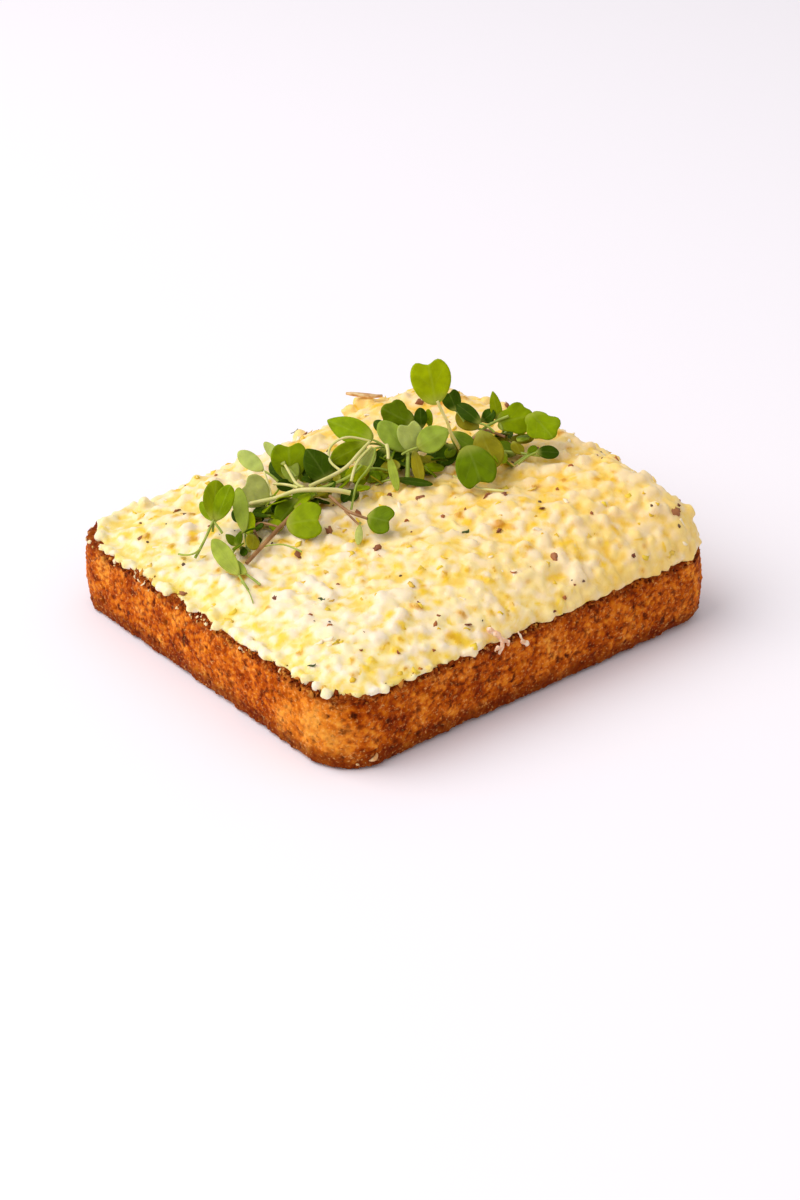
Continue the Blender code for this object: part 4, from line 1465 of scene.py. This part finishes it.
# %% The stems' routes
STEMS = {
    # For each colour, (thickness at the cut end, points (x, y, height over the egg)).
    "pale": (
        (1.1, ((-9.5, 4, 4.5), (-11.5, 6, 5), (-16.5, 7.5, 6), (-20, 12, 6.5), (-24, 14, 6),
               (-27.5, 16.5, 5), (-29, 20, 4))),
        (0.8, ((-17, 10.5, 6.3), (-14, 10.5, 6.5), (-9.5, 10.5, 7), (-5, 10.5, 7.5), (0, 12.5, 8),
               (4, 13.5, 8))),
        (0.7, ((-6.5, 7.5, 5), (-4.5, 9, 7), (-0.5, 11.5, 7.5), (3.5, 12, 8))),
        (0.6, ((-6.5, 12, 6.5), (-7, 15, 7), (-5.5, 18, 8), (-4.5, 18, 10), (-1.5, 17, 11),
               (2, 16, 10), (4.5, 13.5, 8))),
        (0.7, ((-19, 12.5, 6.5), (-19, 17, 6.5), (-20.5, 20.5, 6))),
        (0.7, ((-18, 11.5, 6), (-17.5, 15, 6), (-16.5, 18.5, 7), (-15, 23, 8))),
        (0.6, ((-23.5, 17.5, 5), (-22.5, 20, 7), (-20.5, 24.5, 8))),
        (0.8, ((22.5, 0, 4), (18.5, -2.5, 9), (14, -5.5, 14), (12, -7, 17.5), (10, -7.2, 21),
               (9, -6.5, 24.3))),
        (0.6, ((18.5, -20.5, 0.8), (17, -18.5, 1), (16, -14, 1.2), (15, -10.5, 1.8),
               (13.5, -7.5, 3))),
        (0.8, ((5.5, 8.5, 9), (4.5, 6.5, 8), (3.5, 5.5, 6.5))),
    ),
    "green": (
        (0.6, ((-48.5, 14.5, 1.5), (-45.5, 15, 3.5), (-40.9, 17.1, 6.3))),
        (0.45, ((-49.5, 20, 1), (-48.5, 15, 1.5), (-48.3, 12, 5))),
        (0.3, ((-48, -3.5, 1.5), (-48, -7, 1), (-50, -11, 0.6))),
        (0.7, ((-15, 10, 5), (-12, 9, 5.5), (-8, 9, 5.5), (-4.5, 8.5, 6), (-2, 9, 7))),
        (0.4, ((-31, -4.5, 2), (-31.5, -1, 2), (-32.5, 2.5, 1.8), (-35.5, 4.5, 1.5))),
        (1.1, ((5.5, 0.5, 0.8), (9, 4.5, 3), (12, 8, 5.5))),
        (0.5, ((-10.5, 2.5, 1), (-8.5, 4, 3.5), (-6, 6, 5), (-2, 6.5, 6), (1.5, 8.5, 7),
               (4, 11, 8))),
        (0.8, ((26, 1.5, 5), (29.5, -0.5, 7), (32, -1.5, 8), (34.5, -4, 8.8))),
        (0.7, ((29.5, -6.5, 3), (31.5, -9.5, 2.5), (33, -12.5, 2), (35, -15.5, 2))),
    ),
    "purple": (
        (1.0, ((-21, 8.5, 4), (-25.5, 7.5, 3), (-29.5, 6.5, 2.5), (-33.5, 5, 2), (-36.5, 4.5, 1.5),
               (-42, 2.5, 0.8))),
        (0.6, ((-36.5, 4.5, 1.5), (-35, 8, 2.5), (-33.5, 11.5, 3), (-31.5, 11.5, 3.2),
               (-30, 9, 3), (-29, 6.5, 2.5))),
        (0.7, ((-15.5, 4.5, 5), (-15.5, -0.5, 4.5), (-15, -4.5, 4.5), (-13.5, -7.5, 4))),
        (0.5, ((-15.5, -1.5, 4.4), (-16, -5.5, 4), (-15.5, -7, 3))),
        (0.8, ((22.5, 0, 4), (26, 0, 6), (29, -1, 7), (32, -1, 5), (33, -4.5, 4))),
    ),
}
STEM_STEP = 0.8 * MM
STEM_SLIMMING = 0.2
STEM_FULLNESS = 1.2


def stem_curves(name, routes):
    """One curve object with a smooth spline along each route."""
    curve = bpy.data.curves.new(name, "CURVE")
    curve.dimensions = "3D"
    curve.resolution_u = 8
    for width, points in routes:
        spline = curve.splines.new("NURBS")
        spline.points.add(len(points) - 1)
        for knot, point in zip(spline.points, points):
            knot.co = (*over_egg(*point), 1)
            knot.radius = width * STEM_FULLNESS * MM / 2
        spline.order_u = 3
        spline.use_endpoint_u = True
    return curve


# %% Petioles
def petiole(base, tip):
    """A short stalk from a leaf's base back and down into the tangle."""
    back = (Vector(base) - Vector(tip)).normalized()
    steps = ((0.4, 0), (-2.0, 0.4), (-4.5, 2.0))
    return tuple(
        (base[0] - back.x * run, base[1] - back.y * run, max(base[2] - drop_by, 0.5))
        for run, drop_by in steps
    )


own_petioles = tuple(
    (0.55, tuple((x, y, h) for x, y, h in reversed(petiole(base, tip))))
    for kind, base, tip, width, turn, tone in LEAVES if width < 7
)
routes = dict(STEMS, green=STEMS["green"] + own_petioles)

# %% Cress stem
STEM_IOR = 1.4
STEM_COLOURS = {
    "pale": ("#E4D894", "#D3CE7A"),
    "green": ("#A8B44A", "#8FA034"),
    "purple": ("#B08250", "#8E6238"),
}
for name, colours in STEM_COLOURS.items():
    stem = mottled(
        name + " cress stem", ((0.4, colours[0]), (0.6, colours[1])), grain=4 * MM,
        Roughness=0.4, IOR=STEM_IOR, Subsurface_Weight=0.3, Subsurface_Radius=(1.0, 0.9, 0.4),
        Subsurface_Scale=0.6 * MM,
    )
    working = add_object("stems", stem_curves("stems", routes[name]))
    threads = grow(working, stems, name + " stems", Slimming=STEM_SLIMMING, Step=STEM_STEP)
    drop(working)
    hand_over(name + "_cress_stems", threads, "cress_sprigs", stem)

# %% [markdown]
# ## Bits that hang over and stick out
#
# A few shreds of egg white hang over the near rim, a long brown flake of crust lies on the far
# edge, and two curled pale crumbs cling to the foot of the near corner. They are few enough to be
# placed one by one. The shreds are strings of small lumps, fused like the salad but on a finer
# grid.

# %% Shreds of egg white over the rim
SHREDS = (
    # Thickness in millimetres at the top and at the bottom, points (x, y, z) in millimetres.
    (1.5, 1.0, ((-15.0, -53.6, 22.2), (-14.0, -55.2, 21.3), (-13.4, -56.0, 19.9))),
    (0.9, 0.7, ((-13.4, -56.0, 19.9), (-11.8, -56.4, 19.3), (-11.9, -56.4, 18.3))),
    (1.0, 0.7, ((-13.2, -56.1, 19.8), (-13.7, -56.5, 18.4), (-14.6, -56.5, 17.0))),
    (0.8, 0.5, ((-14.8, -56.3, 18.7), (-15.9, -56.4, 18.2))),
    (0.5, 0.6, ((-8.0, -55.6, 20.0), (-7.6, -56.2, 18.6), (-7.4, -56.4, 17.5))),
    (0.9, 1.0, ((-7.6, -56.4, 17.6), (-6.6, -56.4, 16.9), (-5.6, -56.3, 16.1))),
)
SHRED_CELL = 0.16 * MM
SHRED_LUMPS = 6
SHRED_WANDER = 0.12
draw = random.Random(7)
strings = []
for seed, (thick, thin, points) in enumerate(SHREDS, 140):
    legs = list(zip(points, points[1:]))
    for j, (start, end) in enumerate(legs):
        for i in range(SHRED_LUMPS):
            share = (j + i / SHRED_LUMPS) / len(legs)
            place = Vector(start).lerp(Vector(end), i / SHRED_LUMPS)
            place += Vector((draw.uniform(-1, 1), 0, draw.uniform(-1, 1))) * SHRED_WANDER
            radius = (thick + (thin - thick) * share) / 2 * draw.uniform(0.8, 1.25)
            lump = lump_mesh("shred lump", seed + i, 2, 0.9, 0.5)
            lump.transform(Matrix.Translation(place * MM) @ Matrix.Scale(radius * MM, 4))
            strings.append(lump)
working = add_object("shreds over the rim", joined("shreds over the rim", strings))
remesh = working.modifiers.new("one skin", "REMESH")
remesh.mode = "VOXEL"
remesh.voxel_size = SHRED_CELL
mesh = plain_mesh(working, "shreds over the rim")
drop(working)
pinkish = mottled(
    "egg white", ((0.40, "#E8B48C"), (0.60, "#FADCC0")), grain=1.2 * MM, Roughness=0.4,
    IOR=EGG_IOR, Subsurface_Weight=0.4, Subsurface_Radius=(1.0, 0.7, 0.5),
    Subsurface_Scale=1.0 * MM,
)
hand_over("shreds_over_the_rim", mesh, "egg_salad", pinkish)

# %% A flake on the far edge, and crumbs at the foot
LOOSE_FLAKES = (
    # Length, width, thickness, bend, place (x, y, z), turn about Z and tilt, in mm and degrees.
    (10.0, 2.2, 0.5, 0.08, (32.2, 51.0, 30.9), -30, 8),
    (3.4, 1.2, 0.7, 0.5, (-50.0, -54.6, 2.4), -20, -35),
    (1.8, 0.8, 0.5, 0.4, (-52.8, -53.2, 1.6), 30, 10),
)
builder = bmesh.new()
for seed, (length, width, thickness, bend, middle, turn, tilt) in enumerate(LOOSE_FLAKES, 120):
    flake = flake_mesh("flake", seed, length * MM, width * MM, thickness * MM, bend)
    flake.transform(
        Matrix.Translation(Vector(middle) * MM)
        @ Matrix.Rotation(math.radians(turn), 4, "Z")
        @ Matrix.Rotation(math.radians(tilt), 4, "Y")
    )
    builder.from_mesh(flake)
flakes = finished(builder, "loose flakes")
brown = mottled("crust flake", ((0.40, "#D89A58"), (0.60, "#F0CC94")), grain=2 * MM,
                Roughness=0.6, IOR=CRUST_IOR)
hand_over("loose_flakes", flakes, "toast_slice", brown)

# %% Finish
bpy.context.view_layer.update()
low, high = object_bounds()
print("visual box", low, high)
